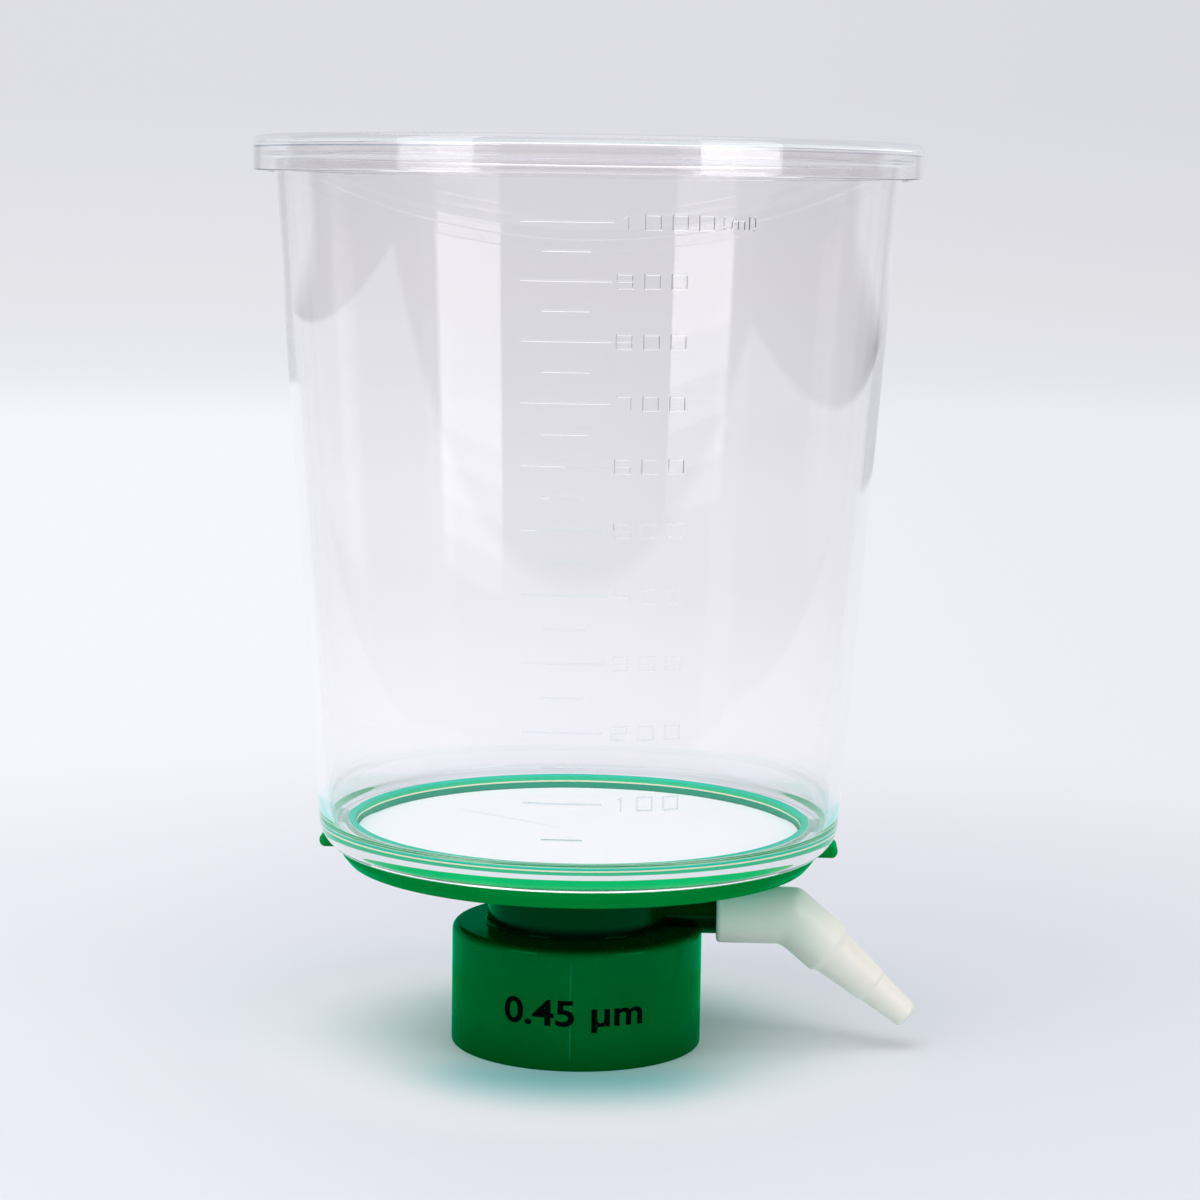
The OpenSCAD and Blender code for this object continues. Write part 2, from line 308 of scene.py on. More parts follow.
# %% Shader helper
class Wire:
    """An output socket that takes part in sums. Wire(tree) alone is a place to start."""

    def __init__(self, tree, socket=None):
        self.tree = tree
        self.socket = socket

    def node(self, kind, settings=None, inputs=None, output=0):
        """Adds a node and returns one of its outputs.

        settings are its own properties, with "stops" for a ramp's {position: colour},
        and are set first. inputs maps a socket to a number, a tuple or a Wire.
        """
        made = self.tree.nodes.new(kind)
        for key, value in (settings or {}).items():
            if key == "stops":
                set_stops(made.color_ramp, value)
            else:
                setattr(made, key, value)
        for key, value in (inputs or {}).items():
            if isinstance(value, Wire):
                self.tree.links.new(value.socket, made.inputs[key])
            elif made.inputs[key].type == "RGBA":
                made.inputs[key].default_value = (*value, 1.0)
            else:
                made.inputs[key].default_value = value
        return Wire(self.tree, made.outputs[output])

    def math(self, operation, first, second=0.0):
        return self.node("ShaderNodeMath", {"operation": operation}, {0: first, 1: second})

    def __add__(self, other):
        return self.math("ADD", self, other)

    def __sub__(self, other):
        return self.math("SUBTRACT", self, other)

    def __rsub__(self, other):
        return self.math("SUBTRACT", other, self)

    def __mul__(self, other):
        return self.math("MULTIPLY", self, other)

    def __abs__(self):
        return self.math("ABSOLUTE", self)

    __radd__ = __add__
    __rmul__ = __mul__

    def rise(self, start, end):
        """0 up to start, 1 from end on, and a soft step between."""
        limits = {"Value": self, "From Min": start, "From Max": end}
        return self.node("ShaderNodeMapRange", {"interpolation_type": "SMOOTHSTEP"}, limits)


def set_stops(ramp, stops):
    """Gives a colour ramp its stops, {position: (red, green, blue)}."""
    for position, colour in sorted(stops.items())[: len(stops) - 2]:
        ramp.elements.new(position)
    for element, (position, colour) in zip(ramp.elements, sorted(stops.items())):
        element.position = position
        element.color = (*colour, 1.0)


# %% Patterns on Object coordinates
def fresh(name):
    """A new material with an empty tree, as (material, Wire to start from)."""
    material = bpy.data.materials.new(name)
    material.use_nodes = True
    material.node_tree.nodes.clear()
    return material, Wire(material.node_tree)


def place(start):
    """Object coordinates in metres, as a vector."""
    return start.node("ShaderNodeTexCoord", output="Object")


def place_parts(start):
    """The x, y and z of the Object coordinates, in metres."""
    split = start.node("ShaderNodeSeparateXYZ", {}, {"Vector": place(start)})
    outputs = split.socket.node.outputs
    return [Wire(start.tree, outputs[i]) for i in range(3)]


def from_axis(start):
    """How far a point is from the part's axis, in metres."""
    x, y, _ = place_parts(start)
    flat = start.node("ShaderNodeCombineXYZ", {}, {"X": x, "Y": y})
    return start.node("ShaderNodeVectorMath", {"operation": "LENGTH"}, {0: flat}, output=1)


def cloud(start, scale, detail=2.0, stretch=(1.0, 1.0, 1.0)):
    """A noise pattern round 0.5, with scale in features per metre."""
    spot = start.node("ShaderNodeMapping", {}, {"Vector": place(start), "Scale": stretch})
    return start.node("ShaderNodeTexNoise", {}, {"Vector": spot, "Scale": scale, "Detail": detail})


def blend_colours(start, factor, first, second):
    """The colour between first and second by factor."""
    inputs = {"Factor": factor, 6: first, 7: second}
    return start.node("ShaderNodeMix", {"data_type": "RGBA"}, inputs, output=2)


def relief(start, height, depth):
    """A normal from a height pattern, depth metres deep where height goes from 0 to 1."""
    return start.node("ShaderNodeBump", {}, {"Height": height, "Distance": depth})


def plastic(start, inputs):
    """A Principled shader with those inputs."""
    return start.node("ShaderNodeBsdfPrincipled", {}, inputs)


def finished(material, shader):
    """Joins a shader to the material's output and returns the material."""
    end = shader.tree.nodes.new("ShaderNodeOutputMaterial")
    shader.tree.links.new(shader.socket, end.inputs["Surface"])
    return material


# %% [markdown]
# ## Clear polystyrene
#
# The funnel and the lid are polished crystal polystyrene: no colour of its own apart
# from a breath of grey, a refractive index of 1.59, and a surface that ripples a little
# where the melt flowed. Plain glass shading would stop the lamps' light and leave a far
# too dark, noisy shadow, so rays that ask for shadow or for diffuse light pass straight
# through instead. So does light that has been mirrored back and forth inside a thin
# edge, which would otherwise run out of bounces and turn black.

# %% Clear plastic
POLYSTYRENE_IOR = 1.59
BOUNCES_KEPT = (2.4, 2.6)         # mirrored bounces after which light passes straight on
MARK_CREST = (0.00006, 0.00012)   # metres that a crest of the scale stands out
HAIRLINE = (0.00009, 0.00018)     # metres from the middle of the brim's line to its edge


def clear_plastic(name, ripple, marks, tint):
    """Clear moulded plastic with a flow ripple of that depth in metres.

    marks is a function that masks the places painted darker by the tint: painted shade on the
    funnel, a painted dark reflection on the lid.
    """
    material, start = fresh(name)
    flow = cloud(start, 60.0, 1.0, (1.0, 1.0, 0.35))
    haze = cloud(start, 25.0, 2.0)
    clear = blend_colours(start, haze, (0.985, 0.975, 0.98), (0.99, 0.98, 0.985))
    clear = blend_colours(start, marks(start), clear, tint)
    body = plastic(start, {
        "Base Color": clear,
        "Roughness": 0.0,
        "IOR": POLYSTYRENE_IOR,
        "Transmission Weight": 1.0,
        "Normal": relief(start, flow, ripple),
    })
    shadow_ray = start.node("ShaderNodeLightPath", output="Is Shadow Ray")
    diffuse_ray = start.node("ShaderNodeLightPath", output="Is Diffuse Ray")
    trapped = start.node("ShaderNodeLightPath", output="Glossy Depth").rise(*BOUNCES_KEPT)
    passing = start.math("MAXIMUM", start.math("MAXIMUM", shadow_ray, diffuse_ray), trapped)
    through = start.node("ShaderNodeBsdfTransparent", {}, {"Color": (0.98, 0.985, 0.99)})
    shared = start.node("ShaderNodeMixShader", {}, {0: passing, 1: body, 2: through})
    return finished(material, shared)


def low_marks(start):
    """1 on the crests of the scale's lower marks, which the tint darkens as painted shade:
    points that stand out from the leaning wall.

    The wall's radius is a straight line in z, so radius - line is how far a point stands out.
    """
    _, y, z = place_parts(start)
    slope = LEAN / (brim_z - SHOULDER_Z)
    standing_out = from_axis(start) - z * slope - (SHOULDER_R - slope * SHOULDER_Z) * MM
    at_scale = (y * -1).rise(0.030, 0.036) * z.rise(0.048, 0.050)
    low = 1 - z.rise(0.056, 0.064) * 0.5 - z.rise(0.064, 0.095) * 0.5
    return standing_out.rise(*MARK_CREST) * at_scale * low


def brim_line(start):
    """1 on a hairline round the lid's front: a painted dark reflection of the brim's edge in the
    skirt.
    """
    x, y, z = place_parts(start)
    height = 1 - abs(z - (brim_z - 0.6) * MM).rise(*HAIRLINE)
    sides = (1 - x.rise(-0.045, 0.002)) + x.rise(0.030, 0.036) * 0.6
    return height * sides * (y * -1).rise(0.0, 0.01) * from_axis(start).rise(0.0625, 0.0628)


# The funnel's tint paints shade on the crests of the scale's lower marks.
clear_funnel = clear_plastic("clear_funnel", 0.00003, low_marks, (0.66, 0.69, 0.77))
# The lid's tint paints a dark reflection line along the hairline of brim_line.
clear_lid = clear_plastic("clear_lid", 0.00001, brim_line, (0.30, 0.36, 0.44))

# %% [markdown]
# ## Green moulding
#
# The base is one glossy green plastic that lets some light through. Its light and shade
# are painted into its colour as smooth changes with height: the plate and the rim, as if
# lit through the clear funnel above them, are painted brighter than the collar, the
# collar is painted darker towards its foot, the neck under the plate and the collar's top
# ledge get painted shade, and the lugs are painted paler. The ring gets painted light
# where it shows through the clear foot, painted shade low on its inner face and a painted
# highlight on its crest. A fine mottle keeps the gloss from being perfect, and a parting
# line runs down the front of the collar, where the two halves of the mould met: a real
# low ridge, with a painted highlight in a lighter green along it.
#
# A plain gloss would lay a white veil over a colour this deep. The dye sits so close
# under the skin that even its gloss looks green, so the gloss is a layer of its own: a
# green Glossy shader over a Principled one without gloss, shared out by Fresnel. Rays
# from the lamps pass as green light, which gives the soft green shadow of the plate.

# %% Green plastic
# Heights in metres where one tone of the green gives way to the next: (start, end).
# Most of these tones are painted light and shade.
COLLAR_FOOT = (-0.004, 0.010)
SHADE_START = (0.0222, 0.0232)
LEDGE_START = (0.0228, 0.0238)
LEDGE_END = (0.0248, 0.0262)
RIM_START = (0.0355, 0.0365)
RING_START = (0.0402, 0.0406)
RING_UPPER_PART = (0.0424, 0.0430)
RING_INSIDE_END = (0.0427, 0.0429)
RING_CREST = (0.0437, 0.0439)
PARTING_START = (0.002, 0.003)
PARTING_END = (0.0195, 0.0215)
# The same for distances from the axis.
PARTING_R = (0.0235, 0.0238)
RING_INNER_FACE = (0.0437, 0.0440)
TABS_R = (0.0490, 0.0496)
PARTING_HALF_WIDTH = (0.00008, 0.00028)
PARTING_HIGHLIGHT = (0.0, 0.22, 0.07)


def green_plastic():
    material, start = fresh("green_base")
    x, y, z = place_parts(start)
    # Painted light and shade by height: the plate and rim are painted brighter, as if lit through
    # the funnel, the neck under the plate gets the painted shade colour, and the collar's top ledge
    # a darker painted shade.
    in_light = z.rise(*RIM_START)
    ring = z.rise(*RING_START)
    under_plate = z.rise(*SHADE_START) * (1 - in_light)
    ledge = z.rise(*LEDGE_START) * (1 - z.rise(*LEDGE_END))
    # Painted light: the lugs are painted a paler green.
    tabs = from_axis(start).rise(*TABS_R)
    mottle = cloud(start, 90.0, 3.0).rise(0.35, 0.65)
    # The collar's own green, with painted shade that darkens it towards its foot.
    collar_tone = blend_colours(start, mottle, (0.0, 0.106, 0.015), (0.0, 0.118, 0.018))
    collar_tone = blend_colours(start, z.rise(*COLLAR_FOOT), (0.0, 0.070, 0.004), collar_tone)
    shade = blend_colours(start, mottle, (0.0, 0.026, 0.002), (0.0, 0.031, 0.003))
    shade = blend_colours(start, ledge, shade, (0.0, 0.006, 0.0005))
    rim = blend_colours(start, mottle, (0.0, 0.200, 0.024), (0.0, 0.220, 0.030))
    rim = blend_colours(start, tabs, rim, (0.0, 0.300, 0.055))
    # The ring: painted light where it shows through the clear foot, painted shade low on its inner
    # face, and a painted highlight on its crest.
    upper_part = z.rise(*RING_UPPER_PART)
    outside = blend_colours(start, upper_part, (0.0, 0.58, 0.15), (0.0, 0.56, 0.25))
    inner_face = 1 - from_axis(start).rise(*RING_INNER_FACE)
    low_inside = (1 - z.rise(*RING_INSIDE_END)) * inner_face
    ring_light = blend_colours(start, low_inside, outside, (0.0, 0.31, 0.18))
    ring_light = blend_colours(start, z.rise(*RING_CREST), ring_light, (0.0, 0.58, 0.42))
    # The parting line: a real low ridge in the bump below, and a lighter green along it that is a
    # painted highlight.
    seam = 1 - abs(x).rise(*PARTING_HALF_WIDTH)
    front = (y * -1).rise(*PARTING_R)
    skirt = z.rise(*PARTING_START) - z.rise(*PARTING_END)
    line = seam * front * skirt
    grain = cloud(start, 2600.0, 2.0)
    height = line + grain * 0.02 + mottle * 0.2
    lower = blend_colours(start, in_light, blend_colours(start, under_plate, collar_tone, shade), rim)
    plain = blend_colours(start, ring, lower, ring_light)
    plain = blend_colours(start, line * 0.5, plain, PARTING_HIGHLIGHT)
    bumps = relief(start, height, 0.00006)
    body = plastic(start, {
        "Base Color": plain,
        "Roughness": 0.12 + mottle * 0.05,
        "Specular IOR Level": 0.0,
        "Normal": bumps,
    })
    gloss = start.node("ShaderNodeBsdfAnisotropic", {}, {
        "Color": (0.0, 0.64, 0.24), "Roughness": 0.12, "Normal": bumps,
    })
    edge_on = start.node("ShaderNodeFresnel", {}, {"IOR": 1.42})
    # The ledge's painted shade also takes most of the gloss off it.
    shine = edge_on * (1 - ledge * 0.6)
    skin_deep = start.node("ShaderNodeMixShader", {}, {0: shine, 1: body, 2: gloss})
    shadow_ray = start.node("ShaderNodeLightPath", output="Is Shadow Ray")
    through = start.node("ShaderNodeBsdfTransparent", {}, {"Color": (0.05, 0.84, 0.78)})
    shared = start.node("ShaderNodeMixShader", {}, {0: shadow_ray, 1: skin_deep, 2: through})
    return finished(material, shared)


green_base = green_plastic()

# %% [markdown]
# ## Ivory, membrane, gasket and ink
#
# The elbow is unpigmented satin plastic: a little light goes into it and comes out
# again, which subsurface scattering gives, and its socket end, under the plate, is
# painted a darker green as painted shade. The membrane is matt white with a very fine
# felt. The gasket is soft pale rubber with a bloom on it. The ink is near black, matt
# and a little thinner in places.

# %% Ivory plastic
def ivory_plastic():
    material, start = fresh("ivory_adapter")
    x = place_parts(start)[0]
    patch = cloud(start, 120.0, 3.0)
    grain = cloud(start, 3200.0, 2.0)
    ivory = blend_colours(start, patch.rise(0.3, 0.7), (0.94, 0.88, 0.79), (0.97, 0.91, 0.83))
    # Painted shade: the socket end, under the plate, is painted a darker green.
    return finished(material, plastic(start, {
        "Base Color": blend_colours(start, x.rise(0.036, 0.052), (0.73, 0.78, 0.70), ivory),
        "Roughness": 0.30 + patch * 0.12,
        "IOR": 1.48,
        "Subsurface Weight": 0.3,
        "Subsurface Radius": (1.0, 1.0, 0.8),
        "Subsurface Scale": 0.002,
        "Normal": relief(start, grain * 0.3 + patch, 0.00005),
    }))


ivory_adapter = ivory_plastic()


# %% Membrane, gasket and ink
CREASE_AT = 0.74      # the membrane's crease lies where 0.6 x + 0.8 y + this is 0, in mm
CREASE_MIDDLE = 14.5  # and its middle is this far to the left of the axis, in mm


def membrane_felt():
    material, start = fresh("membrane")
    x, y, _ = place_parts(start)
    felt = cloud(start, 9000.0, 3.0)
    patch = cloud(start, 60.0, 2.0)
    white = blend_colours(start, patch, (0.96, 0.945, 0.975), (0.98, 0.965, 0.99))
    # Painted shade: a line along the crease is painted darker.
    across = abs(x * 0.6 + y * 0.8 + CREASE_AT * MM)
    sideways = abs(x + CREASE_MIDDLE * MM)
    crease_shade = (1 - across.rise(0.0002, 0.0009)) * (1 - sideways.rise(0.006, 0.014)) * 0.6
    body = plastic(start, {
        "Base Color": blend_colours(start, crease_shade, white, (0.80, 0.81, 0.89)),
        "Roughness": 0.68 + patch * 0.1,
        "Normal": relief(start, felt, 0.00002),
    })
    shadow_ray = start.node("ShaderNodeLightPath", output="Is Shadow Ray")
    through = start.node("ShaderNodeBsdfTransparent", {}, {"Color": (0.85, 0.85, 0.85)})
    shared = start.node("ShaderNodeMixShader", {}, {0: shadow_ray, 1: body, 2: through})
    return finished(material, shared)


def soft_rubber():
    material, start = fresh("gasket")
    bloom = cloud(start, 300.0, 3.0)
    return finished(material, plastic(start, {
        "Base Color": blend_colours(start, bloom, (0.56, 0.56, 0.53), (0.64, 0.64, 0.61)),
        "Roughness": 0.5 + bloom * 0.15,
        "Normal": relief(start, bloom, 0.00003),
    }))


def cream_glue():
    material, start = fresh("joint_highlight")
    z = place_parts(start)[2]
    wave = cloud(start, 70.0, 2.0)
    # Painted highlights: the wide band on the ring's outside is white, the thin lines cream.
    white_band = (1 - z.rise(0.0432, 0.0434)) * from_axis(start).rise(0.0438, 0.0442)
    return finished(material, plastic(start, {
        "Base Color": blend_colours(start, white_band, (0.86, 0.83, 0.60), (0.93, 0.93, 0.95)),
        "Roughness": 0.35 + wave * 0.2,
        "Specular IOR Level": 0.3,
        "Normal": relief(start, wave, 0.00002),
    }))


def black_ink():
    material, start = fresh("print_ink")
    wear = cloud(start, 1500.0, 3.0)
    thinner = wear.rise(0.55, 0.75)
    return finished(material, plastic(start, {
        "Base Color": blend_colours(start, thinner, (0.001, 0.003, 0.002), (0.003, 0.008, 0.005)),
        "Roughness": 0.45 + wear * 0.2,
        "Specular IOR Level": 0.0,
        "Normal": relief(start, wear, 0.00001),
    }))


membrane_white = membrane_felt()
gasket_rubber = soft_rubber()
joint_highlight = cream_glue()
print_ink = black_ink()
print("finishes:", ", ".join(sorted(material.name for material in bpy.data.materials)))

# %% [markdown]
# ## Lid
#
# A flat plate with a short skirt that drops over the funnel's brim. It is turned from
# one outline that starts and ends on the axis, so both of its faces close at a pole. Two
# hundredths of a millimetre of air stay between it and the brim, because two clear
# bodies that share a face would not show either one.

# %% Make the lid
LID_WALL = 1.4
LID_ROUND = 1.1
AIR = 0.02


def lid_piece():
    low, top = lid_low[2], lid_high[2]
    outer = lid_high[1]
    inner = outer - LID_WALL
    corners = [
        (0, brim_z + AIR, 0),
        (inner, brim_z + AIR, 0.3),
        (inner, low, 0.3),
        (outer, low, 0.3),
        (outer, top, LID_ROUND),
        (0, top, 0),
    ]
    return skin("lid_moulding", [turned(rounded(corners), round_azimuths(256))])


lid = smooth(lid_piece())

# %% [markdown]
# ## Funnel
#
# A tall wall that leans out, a swollen shoulder over the foot that stands on the green
# rim, a rounded corner down to the ring inside, and a flange at the brim. All of that is
# one outline. The shoulder and the inner corner are quarter ellipses. The foot stands a
# hair above the rim, so the air under it mirrors a bright line. Round the ring it is
# glued, so there the green sinks into the foot by a hair and shows through.

# %% Sizes of the funnel
CORNER_H = 1.3
BRIM_T = 2.6
CONTACT = 0.02        # how far clear plastic sinks in what it is welded to

wall_top_r = SHOULDER_R + LEAN


def wall_r(z):
    """Outer radius of the leaning wall at height z."""
    return SHOULDER_R + LEAN * (z - SHOULDER_Z) / (brim_z - SHOULDER_Z)


# %% Make the funnel
def funnel_piece():
    flange_z = brim_z - BRIM_T
    inside_r = SHOULDER_R - WALL
    half_u = inside_r - FOOT_IN_R
    shoulder = ellipse_corners((FOOT_OUT_R, SHOULDER_Z), SHOULDER_W, SHOULDER_H, -84, 0, 14)
    corner = ellipse_corners((FOOT_IN_R, ring_top + CORNER_H), half_u, CORNER_H, 0, -84, 12)
    climb = [(wall_r(z), z, 0) for z in np.linspace(SHOULDER_Z, flange_z, 44)[1:-1]]
    corners = [
        (FOOT_IN_R, seat_z + AIR, 0.2),
        (FOOT_OUT_R, seat_z + AIR, 0.2),
        (FOOT_OUT_R, seat_z + FOOT_EDGE, 0),
        *shoulder,
        *climb,
        (wall_r(flange_z), flange_z, 0.3),
        (brim_r, flange_z, 0.35),
        (brim_r, brim_z, 0.35),
        (wall_top_r - WALL, brim_z, 0.4),
        (wall_r(SHOULDER_Z + 6) - WALL, SHOULDER_Z + 6, 0),
        *corner,
        (FOOT_IN_R, ring_top, 0),
    ]
    marked_side = np.radians(np.linspace(-101, -53, 97))
    other_side = np.radians(np.linspace(-53, 259, 209)[1:-1])
    azimuths = np.concatenate([marked_side, other_side])
    return skin("funnel_moulding", [turned(rounded(corners), azimuths)])


funnel = funnel_piece()

# %% [markdown]
# ## Graduations
#
# Every line and digit of the scale is a low ridge from a groove in the mould. The digits
# are square forms, so straight strokes cover them all. A stroke is a small bar with
# sloping sides, carried along the wall: its arc length and height give the place, and
# the wall's radius at that height the distance from the axis. Level strokes and upright
# strokes are two groups, because strokes of one group never touch each other, and each
# group joins the funnel in one Boolean.

# %% Heights of the lines
SCALE_ZERO = 3.5
SCALE_STEP_ML = 100
SCALE_COUNT = 10


def held_ml(z):
    """Millilitres between the empty level and z: pi h (a a + a b + b b) / 3 of a cone's frustum."""
    low = seat_z + SCALE_ZERO
    a = wall_r(low) - WALL
    b = wall_r(z) - WALL
    return np.pi * (z - low) * (a * a + a * b + b * b) / 3 / 1000


def level_z(ml):
    """Height that holds ml millilitres, read off a fine table of held_ml."""
    z = np.linspace(seat_z + SCALE_ZERO, brim_z, 2000)
    return np.interp(ml, held_ml(z), z)


numbered_ml = SCALE_STEP_ML * np.arange(1, SCALE_COUNT + 1)
print("numbered lines at", np.round(level_z(numbered_ml), 1))

# %% One stroke on the wall
STROKE_OUT = 0.2
STROKE_SUNK = 0.25
LINE_T = 0.5
DIGIT_T = 0.42


def stroke(start, end, thickness):
    """Grid of one raised bar from start to end, both (arc length, height) on the wall.

    Its section has a foot of full thickness, sunk in the wall, and a top of half that.
    Along the bar only the top draws in at the ends, so they slope as the sides do. A
    point stands at azimuth arc length / wall radius, from -Y towards +X.
    """
    start, end = np.array(start, dtype=float), np.array(end, dtype=float)
    length = np.linalg.norm(end - start)
    ahead = (end - start) / length
    side = np.array([-ahead[1], ahead[0]])
    out = np.array([-STROKE_SUNK, -STROKE_SUNK, STROKE_OUT, STROKE_OUT])
    across = np.array([-0.5, 0.5, 0.25, -0.25]) * thickness
    t = np.linspace(0, length, int(length / 0.8) + 2)[:, None]
    t = t + (out > 0) * np.linspace(0.25, -0.25, len(t))[:, None] * thickness
    spot = start + t[..., None] * ahead + across[:, None] * side
    along, z = spot[..., 0], spot[..., 1]
    azimuth = along / wall_r(z)
    r = wall_r(z) + out
    bar = np.stack([r * np.sin(azimuth), -r * np.cos(azimuth), z], axis=-1)
    middle = np.repeat(bar.mean(axis=1, keepdims=True), 4, axis=1)
    return np.concatenate([middle[:1], bar, middle[-1:]])


# %% Square glyphs
DIGIT_W = 2.7
DIGIT_H = 2.4
DIGIT_PITCH = 4.8
LABEL_START = 7.8

# Level strokes stand low, in the middle or high. Upright ones are named for their side,
# left or right, and run over the full height unless they are the low or the high half.
LEVEL_AT = {"low": 0.0, "mid": 0.5, "high": 1.0}
UPRIGHT_AT = {
    "left": (0, 0.0, 1.0), "left_low": (0, 0.0, 0.5), "left_high": (0, 0.5, 1.0),
    "right": (1, 0.0, 1.0), "right_low": (1, 0.0, 0.5), "right_high": (1, 0.5, 1.0),
}
DIGITS = {
    "0": "low high left right",
    "2": "low mid high left_low right_high",
    "3": "low mid high right",
    "4": "mid left_high right",
    "5": "low mid high left_high right_low",
    "6": "low mid high left right_low",
    "7": "high right",
    "8": "low mid high left right",
    "9": "low mid high left_high right",
}


def glyph_strokes(glyph, left, foot):
    """The level and the upright strokes of one glyph, as two lists of (start, end)."""
    top = foot + DIGIT_H
    half_t = DIGIT_T / 2
    if glyph == "1":
        stem = left + 0.7 * DIGIT_W
        flag = (stem - 0.7, top - 0.5), (stem, top)
        return [flag], [((stem, foot - half_t), (stem, top + half_t))]
    level, upright = [], []
    for word in DIGITS[glyph].split():
        if word in LEVEL_AT:
            z = foot + LEVEL_AT[word] * DIGIT_H
            level.append(((left, z), (left + DIGIT_W, z)))
        else:
            side, low, high = UPRIGHT_AT[word]
            along = left + side * DIGIT_W
            start = foot + low * DIGIT_H - half_t * (low == 0)
            end = foot + high * DIGIT_H + half_t * (high == 1)
            upright.append(((along, start), (along, end)))
    return level, upright


# %% The unit after the top number
def unit_strokes(left, foot):
    """Strokes of (ml) from left on, as two lists: level and slanting ones, and upright ones."""
    top = foot + DIGIT_H
    bend = 0.45
    letter_h = 0.68 * DIGIT_H
    m_left = left + 1.6
    m_width = 2.5
    l_at = m_left + m_width + 0.95
    close_at = l_at + 1.25
    level = [
        ((left + bend, foot), (left, foot + bend)),
        ((left, top - bend), (left + bend, top)),
        ((m_left, foot + letter_h), (m_left + m_width, foot + letter_h)),
        ((close_at - bend, foot), (close_at, foot + bend)),
        ((close_at, top - bend), (close_at - bend, top)),
    ]
    upright = [
        ((left, foot + bend), (left, top - bend)),
        ((l_at, foot), (l_at, top)),
        ((close_at, foot + bend), (close_at, top - bend)),
    ]
    legs = m_left + m_width / 2 * np.arange(3)
    upright += [((leg, foot), (leg, foot + letter_h)) for leg in legs]
    return level, upright


# %% Raise the marks
LONG_SPAN = 16.0      # degrees
SHORT_SPAN = 8.5
SCALE_TURN = -1.0     # degrees from -Y towards +X


def line_ends(z, span):
    """Start and end of a level line that spans an angle in degrees, as (arc length, height)."""
    reach = np.radians(SCALE_TURN + np.array([-0.5, 0.5]) * span) * wall_r(z)
    return (reach[0], z), (reach[1], z)


def scale_strokes():
    """Every level and every upright stroke of the scale, as two lists of grids."""
    level = []
    upright = []
    for ml in numbered_ml:
        z = level_z(ml)
        half_z = level_z(ml - SCALE_STEP_ML / 2)
        level.append(stroke(*line_ends(z, LONG_SPAN), LINE_T))
        level.append(stroke(*line_ends(half_z, SHORT_SPAN), LINE_T))
        foot = z - DIGIT_H / 2
        lefts = LABEL_START + DIGIT_PITCH * np.arange(4)
        glyphs = [glyph_strokes(glyph, left, foot) for glyph, left in zip(str(ml), lefts)]
        if ml == numbered_ml[-1]:
            glyphs.append(unit_strokes(LABEL_START + 4 * DIGIT_PITCH - 0.3, foot))
        for flat, tall in glyphs:
            level += [stroke(start, end, DIGIT_T) for start, end in flat]
            upright += [stroke(start, end, DIGIT_T) for start, end in tall]
    return level, upright


level_grids, upright_grids = scale_strokes()
combine(funnel, skin("level_marks", level_grids))
combine(funnel, skin("upright_marks", upright_grids))
smooth(funnel)
print(len(level_grids), "level and", len(upright_grids), "upright strokes")


# %% [markdown]
# ## Green moulding
#
# Plate, rim, ring, ribs, neck, collar and outlet tube share one axis, so all of them are
# one closed outline. It starts at the collar's mouth, climbs the outside to the ring,
# comes in over the support ribs, goes down the outlet's bore and back under the plate
# and out through the collar. The two CAD nodes base and collar are this one moulding.
# Round the ring runs a shallow groove, which a pale ring of painted highlight fills later on.

# %% Sizes of the green moulding
BORE_R = 22.75
RECESS_R = 22.15
NECK_R = 17.4
NECK_IN_R = 15.6
RIM_LOW_R = 44.7
RIM_WALL = 1.7
RIM_DEPTH = 3.5
RING_IN_R = 43.2
RING_OUT_R = FOOT_IN_R + CONTACT
JOINT_GROOVE_R = FOOT_IN_R - 0.1
JOINT_GROOVE_LOW = 42.4
JOINT_GROOVE_HIGH = 43.05
LAND_R = 40.2
RIB_PITCH = 4.8
RIB_W = 1.2
OUTLET_BORE_R = 2.6
OUTLET_R = 4.0
COLLAR_TOP = ceiling_z + 1.8
CHANNELS = 12
CHANNEL_W = 1.6
WEBS = 8
WEB_W = 1.4

rim_z = seat_z - RIM_DEPTH
rim_in_r = RIM_LOW_R - RIM_WALL


# %% Turn the green moulding
def rib_corners():
    """Corners of the support ribs' tops and feet, from the outermost rib inwards."""
    ribs = np.arange(OUTLET_BORE_R + RIB_PITCH, LAND_R - RIB_W, RIB_PITCH)[::-1]
    edge = RIB_W / 2
    path = []
    for r in ribs:
        path += [(r + edge, seat_z, 0), (r + edge, membrane_z, 0.15)]
        path += [(r - edge, membrane_z, 0.15), (r - edge, seat_z, 0)]
    return path


